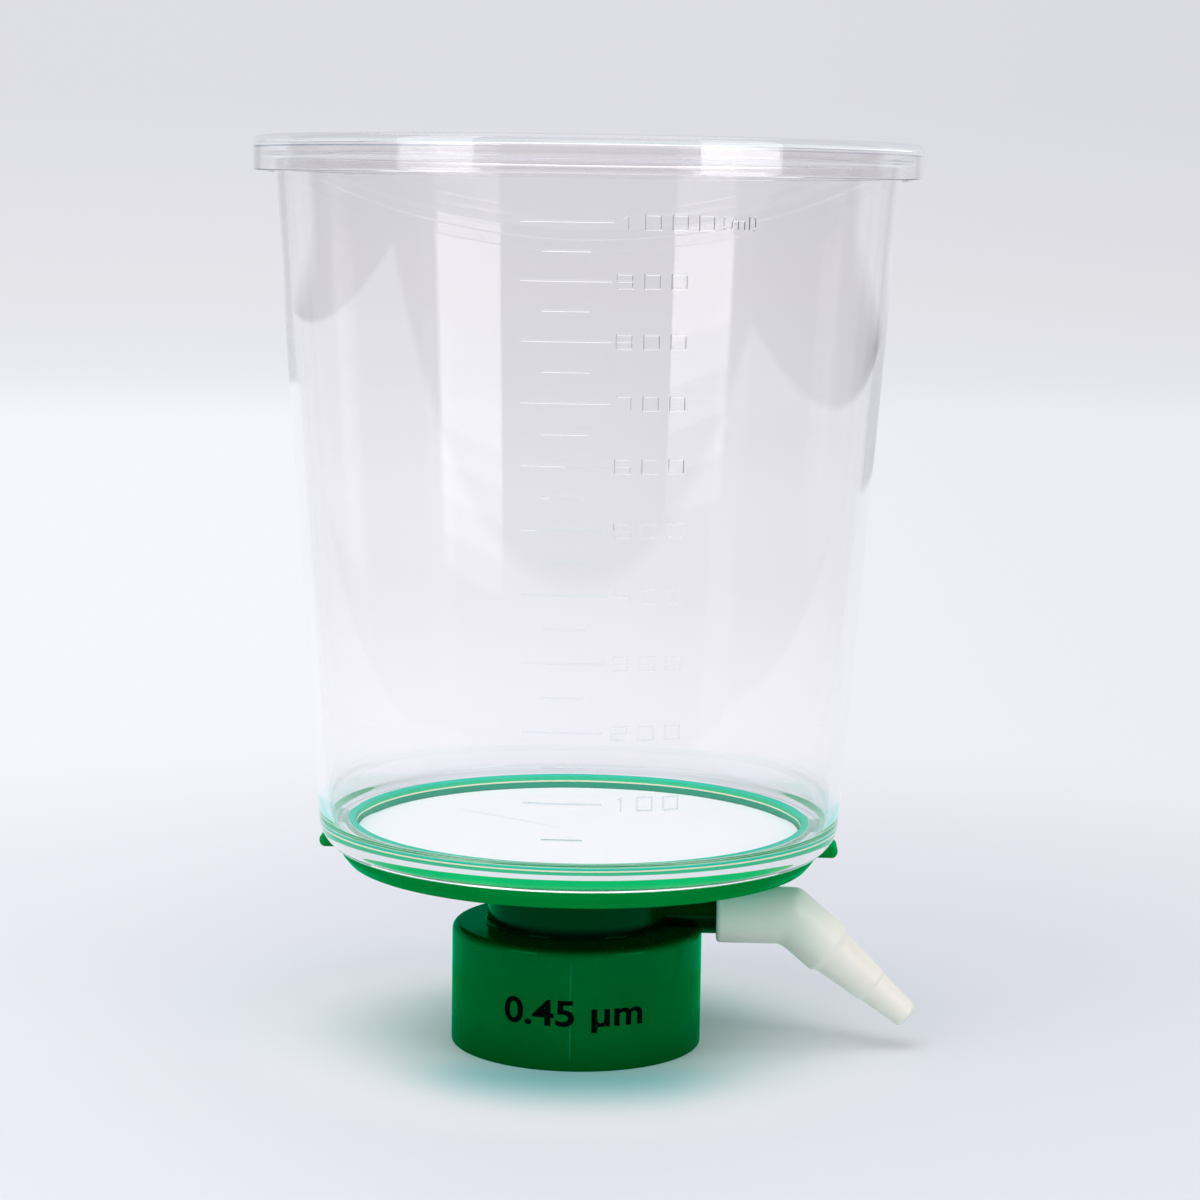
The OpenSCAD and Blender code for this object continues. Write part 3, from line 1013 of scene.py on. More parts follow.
def green_outline():
    """The whole section of the green moulding as a rounded outline (r, z)."""
    corners = [
        (BORE_R, 0, 0.3),
        (collar_r, 0, 0.4),
        (collar_r, COLLAR_TOP, 1.4),
        (NECK_R, COLLAR_TOP, 0.8),
        (NECK_R, plate_z, 0.8),
        (rim_in_r, plate_z, 0.6),
        (rim_in_r, rim_z, 0.5),
        (RIM_LOW_R - 0.25, rim_z, 0.8),
        (rim_r, rim_z + 1.9, 1.6),
        (rim_r, seat_z, 0.25),
        (JOINT_GROOVE_R, seat_z, 0),
        (JOINT_GROOVE_R, seat_z + 0.6, 0),
        (RING_OUT_R, seat_z + 0.6, 0),
        (RING_OUT_R, JOINT_GROOVE_LOW, 0),
        (JOINT_GROOVE_R, JOINT_GROOVE_LOW, 0),
        (JOINT_GROOVE_R, JOINT_GROOVE_HIGH, 0),
        (RING_OUT_R, JOINT_GROOVE_HIGH, 0),
        (RING_OUT_R, ring_top, 0.25),
        (RING_IN_R, ring_top, 0.25),
        (RING_IN_R, membrane_z, 0.15),
        (LAND_R, membrane_z, 0.15),
        (LAND_R, seat_z, 0),
        *rib_corners(),
        (OUTLET_BORE_R, seat_z, 0.3),
        (OUTLET_BORE_R, tube_z, 0.2),
        (OUTLET_R, tube_z, 0.3),
        (OUTLET_R, plate_z, 0.8),
        (NECK_IN_R, plate_z, 0.6),
        (NECK_IN_R, ceiling_z, 0.3),
        (RECESS_R, ceiling_z, 0.15),
        (RECESS_R, gasket_z, 0.15),
        (BORE_R, gasket_z, 0.2),
    ]
    return rounded(corners, hold=0.12)


green = skin("green_moulding", [turned(green_outline(), round_azimuths(256))])
print("outline points:", len(green_outline()))

# %% [markdown]
# ## Drain channels, webs and lugs
#
# Twelve radial channels cut the support ribs, so that what passes the membrane can run
# to the outlet. Eight thin webs stiffen the plate from below. Two tabs stick out
# sideways under the funnel's foot, to hold the unit by when the bottle is screwed on.
# Each is a closed section swept along a straight path, with a smaller section near a
# rounded end.

# %% Bars along a spoke
def spoke_frame(angle, distances, height):
    """Path and axes for sweeps along a spoke at angle degrees: out at each distance, at height.

    The section's u axis runs round the part, to the left of the spoke, and v runs up.
    """
    a = np.radians(angle)
    distances = np.asarray(distances, dtype=float)
    out = np.array([np.cos(a), np.sin(a), 0])
    path = distances[:, None] * out + np.array([0, 0, height])
    left = np.broadcast_to([-np.sin(a), np.cos(a), 0], path.shape)
    up = np.broadcast_to([0.0, 0.0, 1.0], path.shape)
    return path, left, up


def bar_section(width, low, high, edge):
    """Rounded rectangle, width across and from low to high, rounded by edge at its foot."""
    half = width / 2
    corners = [(-half, low, edge), (half, low, edge), (half, high, 0), (-half, high, 0)]
    return rounded(corners, hold=0.05)


def channel(angle):
    """A drain channel as a bar to cut away, from near the outlet to the sealing land."""
    section = bar_section(CHANNEL_W, 0.04, 3.0, 0.2)
    return swept(*spoke_frame(angle, [5.2, LAND_R - 0.05], seat_z), section)


def web(angle):
    """A stiffening web under the plate, from inside the neck's wall into the rim."""
    section = bar_section(WEB_W, rim_z + RIM_WALL / 2 - plate_z, 0.5, 0.3)
    return swept(*spoke_frame(angle, [NECK_R - 0.8, rim_in_r + 0.7], plate_z), section)


channels = [channel(360 * i / CHANNELS) for i in range(CHANNELS)]
webs = [web(360 * (i + 0.5) / WEBS) for i in range(WEBS)]
combine(green, skin("channels", channels), "DIFFERENCE")
combine(green, skin("webs", webs))
print("channels and webs done:", len(green.data.polygons), "faces")

# %% Lugs
LUG_REACH = 4.1
LUG_W = 8.0
LUG_T = 2.4
LUG_RISE = 0.6
LUG_ROUND = 1.15


def lug(angle):
    """One tab along a spoke, with a full round at its tip and a step for the funnel's foot.

    Towards the tip the distance goes on by R sin t while the section draws in by
    R (1 - cos t) on every side. Inside the foot's radius its top stays below the seat.
    """
    t = np.linspace(0, np.radians(80), 9)
    tip = rim_r + LUG_REACH
    start = [rim_r - 1.5, FOOT_OUT_R + 0.1, FOOT_OUT_R + 0.15]
    distances = np.concatenate([start, tip - LUG_ROUND + LUG_ROUND * np.sin(t)])
    draw = np.concatenate([[0, 0, 0], LUG_ROUND * (1 - np.cos(t))])[:, None]
    half_w, half_t = LUG_W / 2, LUG_T / 2
    low, high = (-half_w, -half_t), (half_w, half_t)
    corners = [(*low, 0.5), (high[0], low[1], 0.5), (*high, 0.5), (low[0], high[1], 0.5)]
    u, v = rounded(corners, hold=0.1).T
    across = u * (half_w - draw) / half_w
    up = v * (half_t - draw) / half_t + LUG_RISE - half_t
    up[:2] = np.minimum(up[:2], -AIR)
    return swept(*spoke_frame(angle, distances, seat_z), np.stack([across, up], axis=-1))


combine(green, skin("lugs", [lug(0), lug(180)]))

# %% [markdown]
# ## Vacuum port
#
# The port is a short tube out of the neck, half sunk in the collar's top corner. A solid
# rod is united with the moulding first, and a long thin rod then cuts the air way
# through the rod and the neck's wall.

# %% Port and its bore
PORT_R = 3.85
PORT_BORE_R = 2.2


def along_x(grid, height):
    """A grid turned about Z, laid along +X at a height: (x, y, z) becomes (z, x, y + height)."""
    return grid[..., [2, 0, 1]] + np.array([0, 0, height])


def rod(radius, start, end, edge):
    """A solid rod about Z with a rounded far end, as a grid with poles."""
    corners = [(0, start, 0), (radius, start, 0), (radius, end, edge), (0, end, 0)]
    return turned(rounded(corners), round_azimuths(64))


def port_grid():
    return along_x(rod(PORT_R, NECK_IN_R + 0.9, port_end, 0.5), port_z)


def bore_grid():
    return along_x(rod(PORT_BORE_R, NECK_IN_R - 1.8, port_end + 1, 0), port_z)


combine(green, skin("port", [port_grid()]))
combine(green, skin("port_bore", [bore_grid()]), "DIFFERENCE")

# %% [markdown]
# ## Thread
#
# The collar screws onto a 45 mm bottle neck. The solid's bore is the thread's root, so
# the thread itself is a ridge on it: a blunt triangle carried along a helix. At both
# ends the ridge sinks into the wall, as a moulded thread does.

# %% Wind the thread
THREAD_PITCH = 4.0
THREAD_H = 1.1
THREAD_LOW = 4.0
THREAD_HIGH = 17.5


def thread_grid():
    """The ridge along the helix (R cos a, R sin a, z0 + pitch a / 2 pi).

    Its section (in, up) is a blunt triangle whose crest grows from nothing over the
    first and the last 40 degrees.
    """
    turns = (THREAD_HIGH - THREAD_LOW) / THREAD_PITCH
    a = np.linspace(0, 2 * np.pi * turns, int(turns * 120))
    grow = np.clip(np.minimum(a, a[-1] - a) / np.radians(40), 0, 1)
    grow = grow * grow * (3 - 2 * grow)
    sunk = 0.4
    crest = (THREAD_H + sunk) * grow + 0.1 * (1 - grow)
    inward = np.array([0.0, 0.7, 1.0, 1.0, 0.7, 0.0])
    upward = np.array([-1.45, -0.85, -0.3, 0.3, 0.85, 1.45])
    u = crest[:, None] * inward
    v = np.broadcast_to(upward, u.shape)
    r = BORE_R + sunk
    z = THREAD_LOW + THREAD_PITCH * a / (2 * np.pi)
    path = np.stack([r * np.cos(a), r * np.sin(a), z], axis=-1)
    inside = np.stack([-np.cos(a), -np.sin(a), 0 * a], axis=-1)
    up = np.broadcast_to([0.0, 0.0, 1.0], inside.shape)
    return swept(path, inside, up, np.stack([u, v], axis=-1))


combine(green, skin("thread", [thread_grid()]))
smooth(green, 30)

# %% [markdown]
# ## Gasket and membrane
#
# The gasket is a flat soft ring with rounded edges under the collar's ceiling. The
# membrane is a thin disc that is never quite flat: it lies on the ribs with a broad,
# shallow wave and one faint crease from its handling, a few hundredths of a millimetre
# high.

# %% Gasket
GASKET_W = 5.2


def gasket_piece():
    inner = gasket_r - GASKET_W
    corners = [
        (inner, gasket_z, 0.3),
        (gasket_r, gasket_z, 0.3),
        (gasket_r, ceiling_z - AIR, 0.3),
        (inner, ceiling_z - AIR, 0.3),
    ]
    return skin("gasket_ring", [turned(rounded(corners), round_azimuths(160))])


gasket = smooth(gasket_piece())

# %% Membrane
def membrane_wave(x, y):
    """How far the membrane's top lies off its flat height, from -0.04 to 0.09 mm.

    Two broad sine waves across each other, and a ridge exp(-d d / w w) along a line that
    crosses the left part, where d is the distance to that line.
    """
    broad = 0.02 * (np.sin(x / 13) + np.sin((x + 2 * y) / 17))
    distance = 0.6 * x + 0.8 * y + CREASE_AT
    fade = np.exp(-(((x + CREASE_MIDDLE) / 10) ** 2))
    return broad + 0.05 * np.exp(-((distance / 1.2) ** 2)) * fade


def membrane_piece():
    """A disc of many rings, so that the wave in its top has points to move."""
    top = membrane_high[2]
    rings = np.linspace(membrane_r - 0.2, 0, 70)
    upper = [(r, top, 0) for r in rings]
    corners = [(0, membrane_z, 0), (membrane_r, membrane_z, 0.05), (membrane_r, top, 0.05), *upper]
    grid = turned(rounded(corners, hold=0.05), round_azimuths(200))
    lift = membrane_wave(grid[..., 0], grid[..., 1])
    from_edge = membrane_r - np.hypot(grid[..., 0], grid[..., 1])
    grid[..., 2] += lift * (grid[..., 2] > top - 0.01) * np.clip(from_edge / 3, 0, 1)
    return skin("membrane_disc", [grid])


membrane = smooth(membrane_piece())

# %% [markdown]
# ## Painted joint highlights
#
# The funnel is glued round the ring. The bright lines of that joint are painted
# highlights: pale rings laid in it. Through the clear foot they show as one white band
# with a thin line above it, and round the ring's inner face as a thin line. Each is a
# closed ring of small section, and all of them make one piece.

# %% Lay the painted highlights
INNER_LINE = (42.72, 43.02)
UPPER_LINE = (43.5, 43.72)


def glue_ring(inner, outer, low, high):
    """A closed ring of rectangular section."""
    corners = [(inner, low, 0), (outer, low, 0), (outer, high, 0), (inner, high, 0)]
    return turned(rounded(corners), round_azimuths(256))


joint_lines = skin("joint_highlights", [
    glue_ring(JOINT_GROOVE_R + 0.005, FOOT_IN_R + CONTACT, JOINT_GROOVE_LOW + 0.005, JOINT_GROOVE_HIGH - 0.005),
    glue_ring(RING_OUT_R - 0.01, RING_OUT_R + 0.02, *UPPER_LINE),
    glue_ring(RING_IN_R - 0.05, RING_IN_R + 0.01, *INNER_LINE),
])
smooth(joint_lines)

# %% [markdown]
# ## Hose elbow
#
# One hollow moulding with a bend: a socket over the port, then an arm with two tapered
# steps for a hose. A round tube bent by sweeping would have a big soft knee. The real
# one is a mitre with a small radius, so every line along the tube keeps its own straight
# run, a short arc of the same radius, and the next straight run. On a line that lies h
# above the middle, the two runs meet h tan(20 degrees) further out.

# %% Sizes of the elbow
SOCKET_LEN = 14.3
SOCKET_R = 5.55
SOCKET_BORE_R = 3.9
SOCKET_DEEP = 9.3
ARM_ANGLE = np.radians(40)
ARM_R = 5.4
ARM_BORE_R = 1.7
ARM_PLAIN = 10.5
STEP_1 = (4.65, 10.4)     # radius at the root and length
STEP_2 = (3.4, 9.4)
STEP_TAPER = 0.09         # radius lost per length
KNEE_R = 3.0
KNEE_ZONE = 3.4

bend_x = socket_x + SOCKET_LEN


# %% Bend a tube
def bent(outline, azimuths):
    """Grid of an outline (radius, run) bent at run 0, in the plane of X and Z.

    A point of radius r at azimuth a stands h = r sin(a) above the middle line. Its line
    has a knee at bend + h tan(A / 2), whose arc of radius R touches both runs at
    R tan(A / 2) from it. Within the zone round the knee, the run is stretched evenly up
    to the arc, and the arc takes the middle third of it.
    """
    r, run = outline.T
    h = r[:, None] * np.sin(azimuths)
    y = r[:, None] * np.cos(azimuths)
    run = run[:, None] + 0 * h
    half = np.tan(ARM_ANGLE / 2)
    knee, reach = h * half, KNEE_R * half
    arc_part = 1 / 3
    v = np.clip(run / KNEE_ZONE, -1, 1)
    approach = np.clip((1 - abs(v)) / (1 - arc_part), 0, 1)
    near = -KNEE_ZONE + approach * (KNEE_ZONE + knee - reach)
    far = KNEE_ZONE - approach * (KNEE_ZONE + knee - reach)
    near = near + np.minimum(run + KNEE_ZONE, 0)
    far = far + np.maximum(run - KNEE_ZONE, 0)
    turn = ARM_ANGLE * np.clip((v + arc_part) / (2 * arc_part), 0, 1)
    arc_x = knee - reach + KNEE_R * np.sin(turn)
    arc_z = h - KNEE_R + KNEE_R * np.cos(turn)
    on_arc = np.stack([arc_x, arc_z], axis=-1)
    before = np.stack([near, h], axis=-1)
    ahead = np.array([np.cos(ARM_ANGLE), -np.sin(ARM_ANGLE)])
    above = np.array([np.sin(ARM_ANGLE), np.cos(ARM_ANGLE)])
    after = far[..., None] * ahead + h[..., None] * above
    choice = np.stack([v, v], axis=-1)
    xz = np.where(choice < -arc_part, before, np.where(choice > arc_part, after, on_arc))
    return np.stack([bend_x + xz[..., 0], y, port_z + xz[..., 1]], axis=-1)


# %% Make the elbow
def elbow_outline():
    """Closed section (radius, run) of the elbow, straightened, with rows for the knee."""
    end_1 = ARM_PLAIN + STEP_1[1]
    end_2 = end_1 + STEP_2[1]
    step_1_end_r = STEP_1[0] - STEP_TAPER * STEP_1[1]
    tip_r = STEP_2[0] - STEP_TAPER * STEP_2[1]
    zone = np.concatenate([[-1.0], np.linspace(-1 / 3, 1 / 3, 9), [1.0]]) * KNEE_ZONE
    outer_r = SOCKET_R + (ARM_R - SOCKET_R) * (zone / KNEE_ZONE + 1) / 2
    corners = [
        (SOCKET_R, -SOCKET_LEN, 0.9),
        *zip(outer_r, zone, 0 * zone),
        (ARM_R, ARM_PLAIN - 1.0, 0.6),
        (STEP_1[0], ARM_PLAIN + 0.4, 0.6),
        (step_1_end_r, end_1 - 0.4, 0.25),
        (STEP_2[0], end_1 + 0.3, 0.25),
        (tip_r, end_2, 0.8),
        (ARM_BORE_R, end_2, 0.05),
        *zip(0 * zone + ARM_BORE_R, zone[::-1], 0 * zone),
        (ARM_BORE_R, SOCKET_DEEP - SOCKET_LEN, 0.2),
        (SOCKET_BORE_R, SOCKET_DEEP - SOCKET_LEN, 0.2),
        (SOCKET_BORE_R, -SOCKET_LEN, 0.2),
    ]
    return rounded(corners, hold=0.05)


def elbow_piece():
    return skin("hose_elbow", [bent(elbow_outline(), round_azimuths(128))])


elbow = smooth(elbow_piece())

# %% [markdown]
# ## Print on the collar
#
# The pore size is printed on the collar's front in a bold plain face. A text object
# gives flat letters. They become a mesh, are cut into narrow strips, and each point is
# then laid round the collar: its x is the arc length, so the letters keep their width.

# %% Print the pore size
PRINT_TEXT = "0.45 µm"
PRINT_LENGTH = 27.4
PRINT_CAP = 4.9
PRINT_MIDDLE = (0.5, 11.3)    # arc length from -Y and height
PRINT_OUT = 0.015
PRINT_BOLD = 0.022            # how far each letter's outline moves out, at text size 1
PRINT_STRIPS = 41


def print_piece():
    letters = bpy.data.curves.new("pore_size", "FONT")
    letters.body = PRINT_TEXT
    letters.offset = PRINT_BOLD
    letters.resolution_u = 6
    carrier = bpy.data.objects.new("pore_size_text", letters)
    bpy.context.scene.collection.objects.link(carrier)
    letter_shapes = carrier.evaluated_get(bpy.context.evaluated_depsgraph_get())
    mesh = bpy.data.meshes.new_from_object(letter_shapes)
    bpy.data.objects.remove(carrier)
    strips = bmesh.new()
    strips.from_mesh(mesh)
    xs = [v.co.x for v in strips.verts]
    for cut in np.linspace(min(xs), max(xs), PRINT_STRIPS + 1)[1:-1]:
        everything = strips.verts[:] + strips.edges[:] + strips.faces[:]
        bmesh.ops.bisect_plane(strips, geom=everything, plane_co=(cut, 0, 0), plane_no=(1, 0, 0))
    strips.to_mesh(mesh)
    strips.free()
    flat = np.zeros(len(mesh.vertices) * 3)
    mesh.vertices.foreach_get("co", flat)
    flat = flat.reshape(-1, 3)
    low, high = flat.min(axis=0), flat.max(axis=0)
    digits_top = high[1]
    from_middle = flat[:, 0] - (low[0] + high[0]) / 2
    along = from_middle * PRINT_LENGTH / (high[0] - low[0]) + PRINT_MIDDLE[0]
    z = (flat[:, 1] - digits_top / 2) * PRINT_CAP / digits_top + PRINT_MIDDLE[1]
    r = collar_r + PRINT_OUT
    wrapped = np.stack([r * np.sin(along / r), -r * np.cos(along / r), z], axis=-1) * MM
    mesh.vertices.foreach_set("co", wrapped.ravel())
    mesh.update()
    piece = bpy.data.objects.new("pore_size_print", mesh)
    bpy.context.scene.collection.objects.link(piece)
    return piece


pore_print = smooth(print_piece())

# %% [markdown]
# ## Finishes, bodies and the CAD nodes that the pieces stand for
#
# Each piece gets its material, rides on its CAD body and names the nodes it replaces.
# Only the elbow rides on the adapter, so it swivels on the port and all else stays.

# %% Dress and join
def dress(piece, finish, body, slot, *nodes):
    """Gives a piece its finish, its body and the nodes it replaces; slot is not used."""
    piece.data.materials.clear()
    piece.data.materials.append(finish)
    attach(piece, body)
    if nodes:
        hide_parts(*nodes)


dress(lid, clear_lid, "filter", "clear_lid", "lid")
dress(funnel, clear_funnel, "filter", "clear_funnel", "funnel")
dress(membrane, membrane_white, "filter", "membrane", "membrane")
dress(green, green_base, "filter", "green_base", "base", "collar")
dress(gasket, gasket_rubber, "filter", "gasket", "neck_gasket")
dress(joint_lines, joint_highlight, "filter", "membrane")
dress(pore_print, print_ink, "filter", "green_base")
dress(elbow, ivory_adapter, "adapter", "ivory_adapter", "hose_adapter")

# %% [markdown]
# ## Room
#
# The unit stands on a plain pale bench in a pale room. What the camera sees behind the
# part is a soft gradient by elevation, and the light that reaches the part is a separate,
# plain level, so colours come out about as they are written.
#
# Clear plastic is visible only by what it mirrors and bends. A room that is pale all
# round would leave it without edges, so mirrored rays find the front of the room, where
# the camera stands, very dark. Rays that have passed the plastic find it two thirds as
# bright as the back, because the part is looked at from behind as well.

# %% Ray kinds
def ray_kinds(start):
    """Three masks, 1 for rays from the camera, mirrored rays, and rays bent by clear plastic.

    A bent ray also counts as glossy, so it is taken out of the mirrored ones.
    """
    names = ["Is Camera Ray", "Is Glossy Ray", "Is Transmission Ray"]
    seen, glossy, bent = [start.node("ShaderNodeLightPath", output=name) for name in names]
    return seen, glossy * (1 - bent), bent


FRONT_MIRRORED = 0.06     # how bright the front of the room is to mirrored rays
FRONT_THROUGH = 0.62      # and to rays that passed the plastic


def dimmed(start, front):
    """1 for what lies behind the part, and less in front of it, by the kind of ray."""
    _, mirrored, bent = ray_kinds(start)
    loss = mirrored * (1 - FRONT_MIRRORED) + bent * (1 - FRONT_THROUGH)
    return 1 - front * loss


def grey(start, value):
    """A value as a grey colour."""
    return start.node("ShaderNodeCombineColor", {}, {0: value, 1: value, 2: value})


def scaled(start, colour, value):
    """A colour times a value."""
    inputs = {"Factor": 1.0, 6: colour, 7: grey(start, value)}
    settings = {"data_type": "RGBA", "blend_type": "MULTIPLY"}
    return start.node("ShaderNodeMix", settings, inputs, output=2)


# %% Backdrop and fill light
BACKDROP = {
    # how high the view goes, from straight down at 0 to straight up at 1: colour
    0.32: (0.86, 0.865, 0.95),
    0.37: (0.83, 0.83, 0.895),
    0.40: (0.86, 0.86, 0.93),
    0.455: (0.882, 0.882, 0.945),
    0.466: (0.86, 0.86, 0.925),
    0.474: (0.80, 0.80, 0.86),
    0.484: (0.775, 0.775, 0.815),
    0.495: (0.755, 0.755, 0.80),
    0.515: (0.73, 0.725, 0.785),
    0.56: (0.73, 0.725, 0.785),
    0.80: (0.66, 0.66, 0.71),
}
BACK_START = (0.40, 0.55)             # how far back a direction points, with 1 for straight
BENCH_END_IN_VIEW = (-0.070, -0.045)  # how high it points where the bench has faded out
FILL = 0.35           # how bright the even light from all round is, with 1 for white
FILL_COLOUR = (0.96, 0.97, 1.0)


def room():
    """World shader: the backdrop for rays that are seen, and an even fill for the rest."""
    world = bpy.data.worlds.new("pale_room")
    bpy.context.scene.world = world
    world.use_nodes = True
    world.node_tree.nodes.clear()
    start = Wire(world.node_tree)
    direction = start.node("ShaderNodeTexCoord", output="Generated")
    split = start.node("ShaderNodeSeparateXYZ", {}, {"Vector": direction})
    x, y, z = [Wire(start.tree, split.socket.node.outputs[i]) for i in range(3)]
    backdrop = start.node("ShaderNodeValToRGB", {"stops": BACKDROP}, {"Fac": z * 0.5 + 0.5})
    front = 1 - y.rise(*BACK_START)
    sideways = 1.015 - x.rise(-0.2, 0.25) * 0.05
    camera_ray, mirrored, bent = ray_kinds(start)
    low_down = 1 - z.rise(*BENCH_END_IN_VIEW)
    veiled = 1 - bent * low_down * 0.05
    colour = scaled(start, backdrop, dimmed(start, front) * sideways * veiled)
    seen_light = start.node("ShaderNodeBackground", {}, {"Color": colour, "Strength": 1.0})
    fill_light = start.node("ShaderNodeBackground", {}, {"Color": FILL_COLOUR, "Strength": FILL})
    seen = camera_ray + mirrored + bent
    both = start.node("ShaderNodeMixShader", {}, {0: seen, 1: fill_light, 2: seen_light})
    end = start.tree.nodes.new("ShaderNodeOutputWorld")
    start.tree.links.new(both.socket, end.inputs["Surface"])


room()

# %% [markdown]
# ## Bench
#
# Near the part the bench is a plain pale surface, and it keeps the shadow and the green
# light that the collar throws on it. Within a few centimetres of the axis it is painted
# paler, which is painted light in that shadow, and in front of the collar a teal pool is
# painted on it as painted green shade. Further out it shows an even pale tone to the rays
# that are seen, and far away it fades into the backdrop, so no edge shows where it ends.
# On the left the even tone starts nearer, which paints light into the shadow there.
# To mirrored rays it ends 0.4 m in front of the part, which draws the soft curve on the
# funnel's front that tells the eye that the wall is round, and about a metre out on
# either side. Near the part mirrored rays find it tinted blue-green, and short rays from
# the funnel's foot and lowest wall find it teal and green: painted reflections, so that
# the clear plastic in front of the green ring doesn't lay a pale veil over it.

# %% Make the bench
BENCH_R = 2600.0
FRONT_END = 0.4       # where the bench ends to mirrored rays, in metres in front of the part
LEFT_END = 1.2        # and to its left
RIGHT_END = 0.85      # and to its right
FADE_OUT = (1.4, 2.2)             # distance from the axis where the bench gives way
SHADOW_END = (0.08, 0.36)         # and where the lit surface gives way to an even tone


def bench_piece():
    """A disc with rings closer near the middle: radius R k k for k from 0 to 1."""
    rings = BENCH_R * np.linspace(0, 1, 24) ** 2
    grid = turned(np.stack([rings, 0 * rings - AIR], axis=-1), round_azimuths(96))
    return skin("bench", [grid[::-1]])


def bench_finish():
    material, start = fresh("pale_bench")
    x, y, _ = place_parts(start)
    length = {"operation": "LENGTH"}
    distance = start.node("ShaderNodeVectorMath", length, {0: place(start)}, output=1)
    patch = cloud(start, 6.0, 2.0)
    table = blend_colours(start, patch, (0.775, 0.78, 0.845), (0.785, 0.79, 0.855))
    # Painted light: within a few centimetres of the axis the bench is painted paler, in the part's
    # shadow.
    table = blend_colours(start, distance.rise(0.045, 0.075), (0.94, 0.92, 0.985), table)
    # Painted green shade: a teal pool in front of the collar.
    painted_green_pool = (1 - distance.rise(0.024, 0.055)) * (y * -1).rise(0.008, 0.032)
    painted_green_pool = painted_green_pool * (1 - abs(x).rise(0.016, 0.040))
    lit = plastic(start, {
        "Base Color": blend_colours(start, painted_green_pool, table, (0.34, 0.70, 0.76)),
        "Roughness": 0.6,
        "Specular IOR Level": 0.2,
    })
    in_front = (y + FRONT_END).rise(-0.02, 0.02)
    at_sides = (x + LEFT_END).rise(-0.02, 0.02) * (RIGHT_END - x).rise(-0.02, 0.02)
    beyond = 1 - in_front * at_sides
    sideways = 1.05 - x.rise(-0.15, 0.2) * 0.085
    camera_ray, mirrored, bent = ray_kinds(start)
    close_by = (1 - distance.rise(0.20, 0.30)) * mirrored
    ray = start.node("ShaderNodeLightPath", output="Ray Length")
    near_wall = distance.rise(0.12, 0.15) - distance.rise(0.236, 0.252)
    low_wall = (distance - ray).rise(0.004, 0.016) * near_wall * mirrored
    foot = (1 - ray.rise(0.055, 0.075)) * mirrored
    # Painted reflections: mirrored rays find the bench blue-green near the part, teal from the
    # lowest wall and green from the funnel's foot.
    pale = blend_colours(start, close_by, (0.875, 0.88, 0.95), (0.80, 0.88, 0.93))
    pale = blend_colours(start, low_wall, pale, (0.36, 0.79, 0.78))
    pale = blend_colours(start, foot, pale, (0.10, 0.70, 0.46))
    gain = 0.06 - distance.rise(0.35, 0.75) * 0.09 - distance.rise(1.0, 1.6) * 0.05
    tone = scaled(start, pale, dimmed(start, beyond) * sideways * (1 + bent * gain))
    even = start.node("ShaderNodeEmission", {}, {"Color": tone, "Strength": 1.0})
    # Painted light: on the left the shadowed surface gives way to the even tone sooner, which
    # lightens the shadow there.
    left_side = 1 - x.rise(-0.12, 0.0)
    far_off = 1 - (1 - distance.rise(*SHADOW_END)) * (1 - left_side * 0.35)
    further = far_off * (camera_ray + bent) + distance.rise(0.03, 0.06) * mirrored
    near = start.node("ShaderNodeMixShader", {}, {0: further, 1: lit, 2: even})
    away = start.node("ShaderNodeBsdfTransparent")
    fade = {0: distance.rise(*FADE_OUT), 1: near, 2: away}
    return finished(material, start.node("ShaderNodeMixShader", {}, fade))


bench = bench_piece()
bench.data.materials.append(bench_finish())

# %% [markdown]
# ## Lamps
#
# Two tall soft panels stand left and right in front, and a broad one hangs overhead. The
# two in front end above the bench, so the leaning front of the funnel mirrors the bench
# below them, and its back mirrors them as two upright bands. A soft panel is dimmer
# towards its end, which a few strips of falling brightness give, so that the bands fade
# out on the wall.

# %% Hang the lamps
def panel(name, azimuth, distance, width, low_z, high_z, glow):
    """A rectangular lamp that faces the axis, azimuth degrees from -Y towards +X.

    glow is how bright its face is, with 1 for white, and its power is pi glow area.
    """
    lamp = bpy.data.lights.new(name, "AREA")
    lamp.shape = "RECTANGLE"
    lamp.size = width
    lamp.size_y = high_z - low_z
    lamp.energy = np.pi * glow * lamp.size * lamp.size_y
    a = np.radians(azimuth)
    middle_z = (low_z + high_z) / 2
    spot = Vector((distance * np.sin(a), -distance * np.cos(a), middle_z))
    carrier = bpy.data.objects.new(name, lamp)
    carrier.location = spot
    carrier.rotation_euler = (Vector((0, 0, middle_z)) - spot).to_track_quat("-Z", "Y").to_euler()
    bpy.context.scene.collection.objects.link(carrier)
    carrier.visible_camera = False
    return carrier


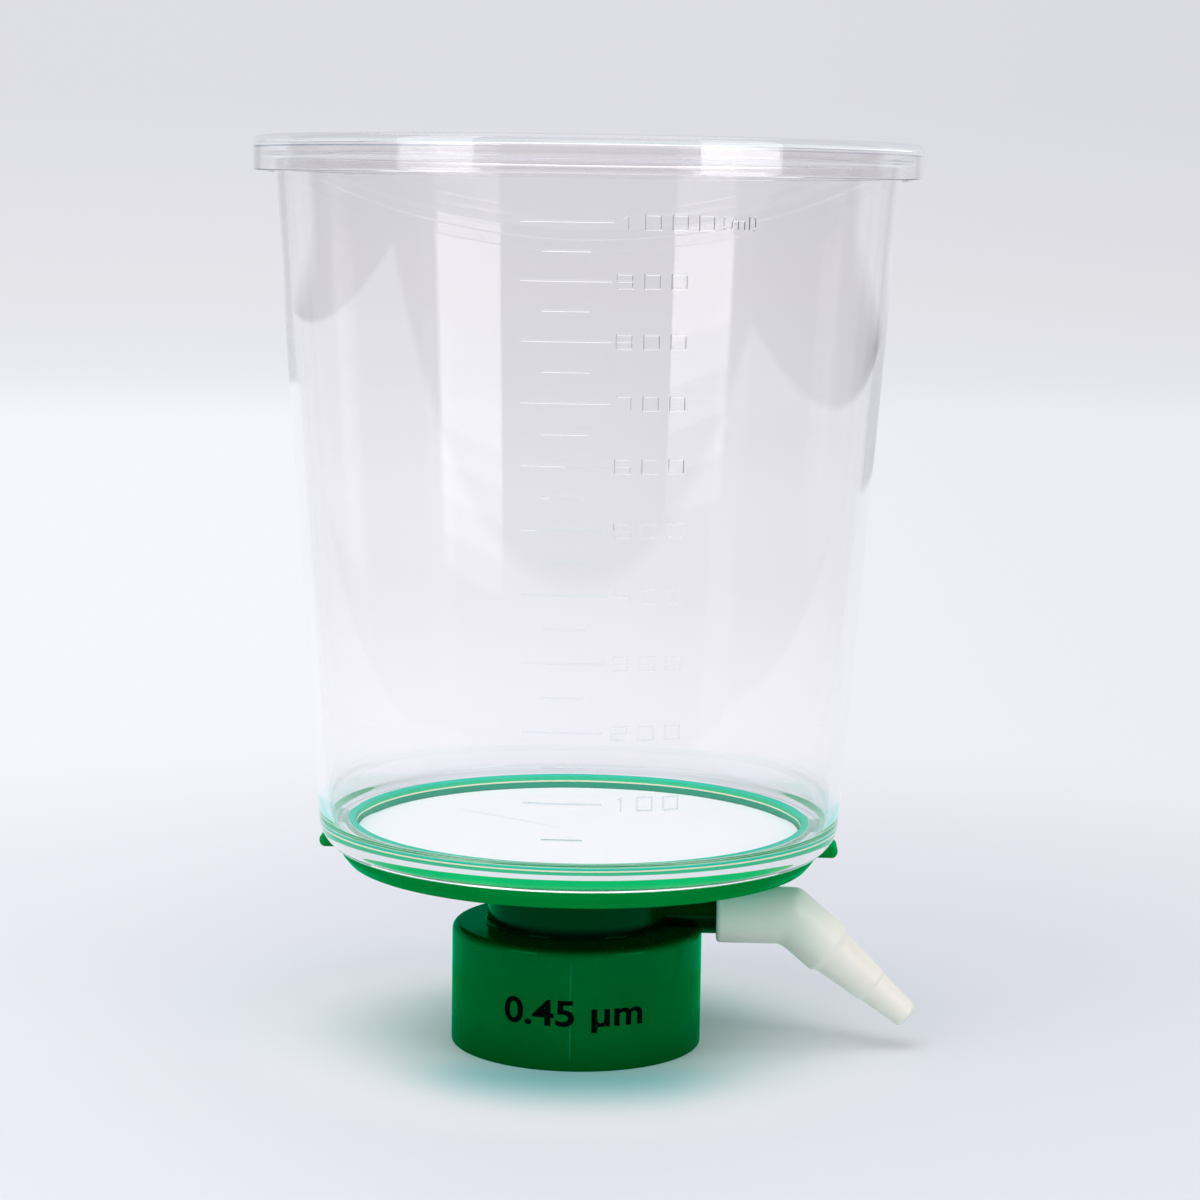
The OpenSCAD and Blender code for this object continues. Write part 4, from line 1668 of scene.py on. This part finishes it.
def soft_panel(name, azimuth, distance, width, low_z, high_z, glow, fade=0.09, strips=4):
    """A panel whose lowest part, fade high, is made of strips that get dimmer downwards."""
    panel(name, azimuth, distance, width, low_z, high_z, glow)
    edges = low_z - np.linspace(0, fade, strips + 1)
    for i, (top, low) in enumerate(zip(edges[:-1], edges[1:])):
        dim = 1 - (i + 1) / (strips + 1)
        panel(f"{name}_end_{i + 1}", azimuth, distance, width, low, top, glow * dim)


left = {"azimuth": -48.3, "distance": 0.9, "width": 0.43, "low_z": 0.22, "high_z": 1.1}
right = {"azimuth": 53.7, "distance": 1.2, "width": 0.62, "low_z": 0.18, "high_z": 1.2}
soft_panel("left_panel", **left, glow=2.4)
soft_panel("right_panel", **right, glow=2.2)
overhead = {"azimuth": 0, "distance": 0.001, "width": 1.2, "low_z": 0.3, "high_z": 1.5}
top_panel = panel("top_panel", **overhead, glow=1.7)
top_panel.location = (-0.08, -0.2, 1.0)
top_panel.rotation_euler = (0, 0, 0)

# %% [markdown]
# ## Camera and view
#
# The camera stands 0.6 m in front, a centimetre lower than the lid's top, turned very
# slightly and looking down by seven degrees, with a long lens that keeps the funnel's
# sides nearly parallel.

# %% Camera
LENS = 92.53          # mm, on a sensor 36 mm wide
CAMERA_AT = (0.0256, -0.5868, 0.16285)
TURNED_LEFT = 2.162   # degrees
LOOKS_DOWN = 7.42     # degrees
ROLLED = 0.0157       # radians

camera_data = bpy.data.cameras.new("view")
camera_data.lens = LENS
camera_data.sensor_width = 36.0
camera = bpy.data.objects.new("view", camera_data)
sideways = Matrix.Rotation(np.radians(TURNED_LEFT), 4, "Z")
aim = sideways @ Matrix.Rotation(np.radians(90 - LOOKS_DOWN), 4, "X")
roll = Matrix.Rotation(ROLLED, 4, "Z")
camera.matrix_world = Matrix.Translation(CAMERA_AT) @ aim @ roll
bpy.context.scene.collection.objects.link(camera)
bpy.context.scene.camera = camera
bpy.context.scene.view_settings.view_transform = "Standard"

# %% Box corners as plain numbers
def plain(box):
    """The corners of a box as plain lists of numbers."""
    return [[float(value) for value in corner] for corner in box]
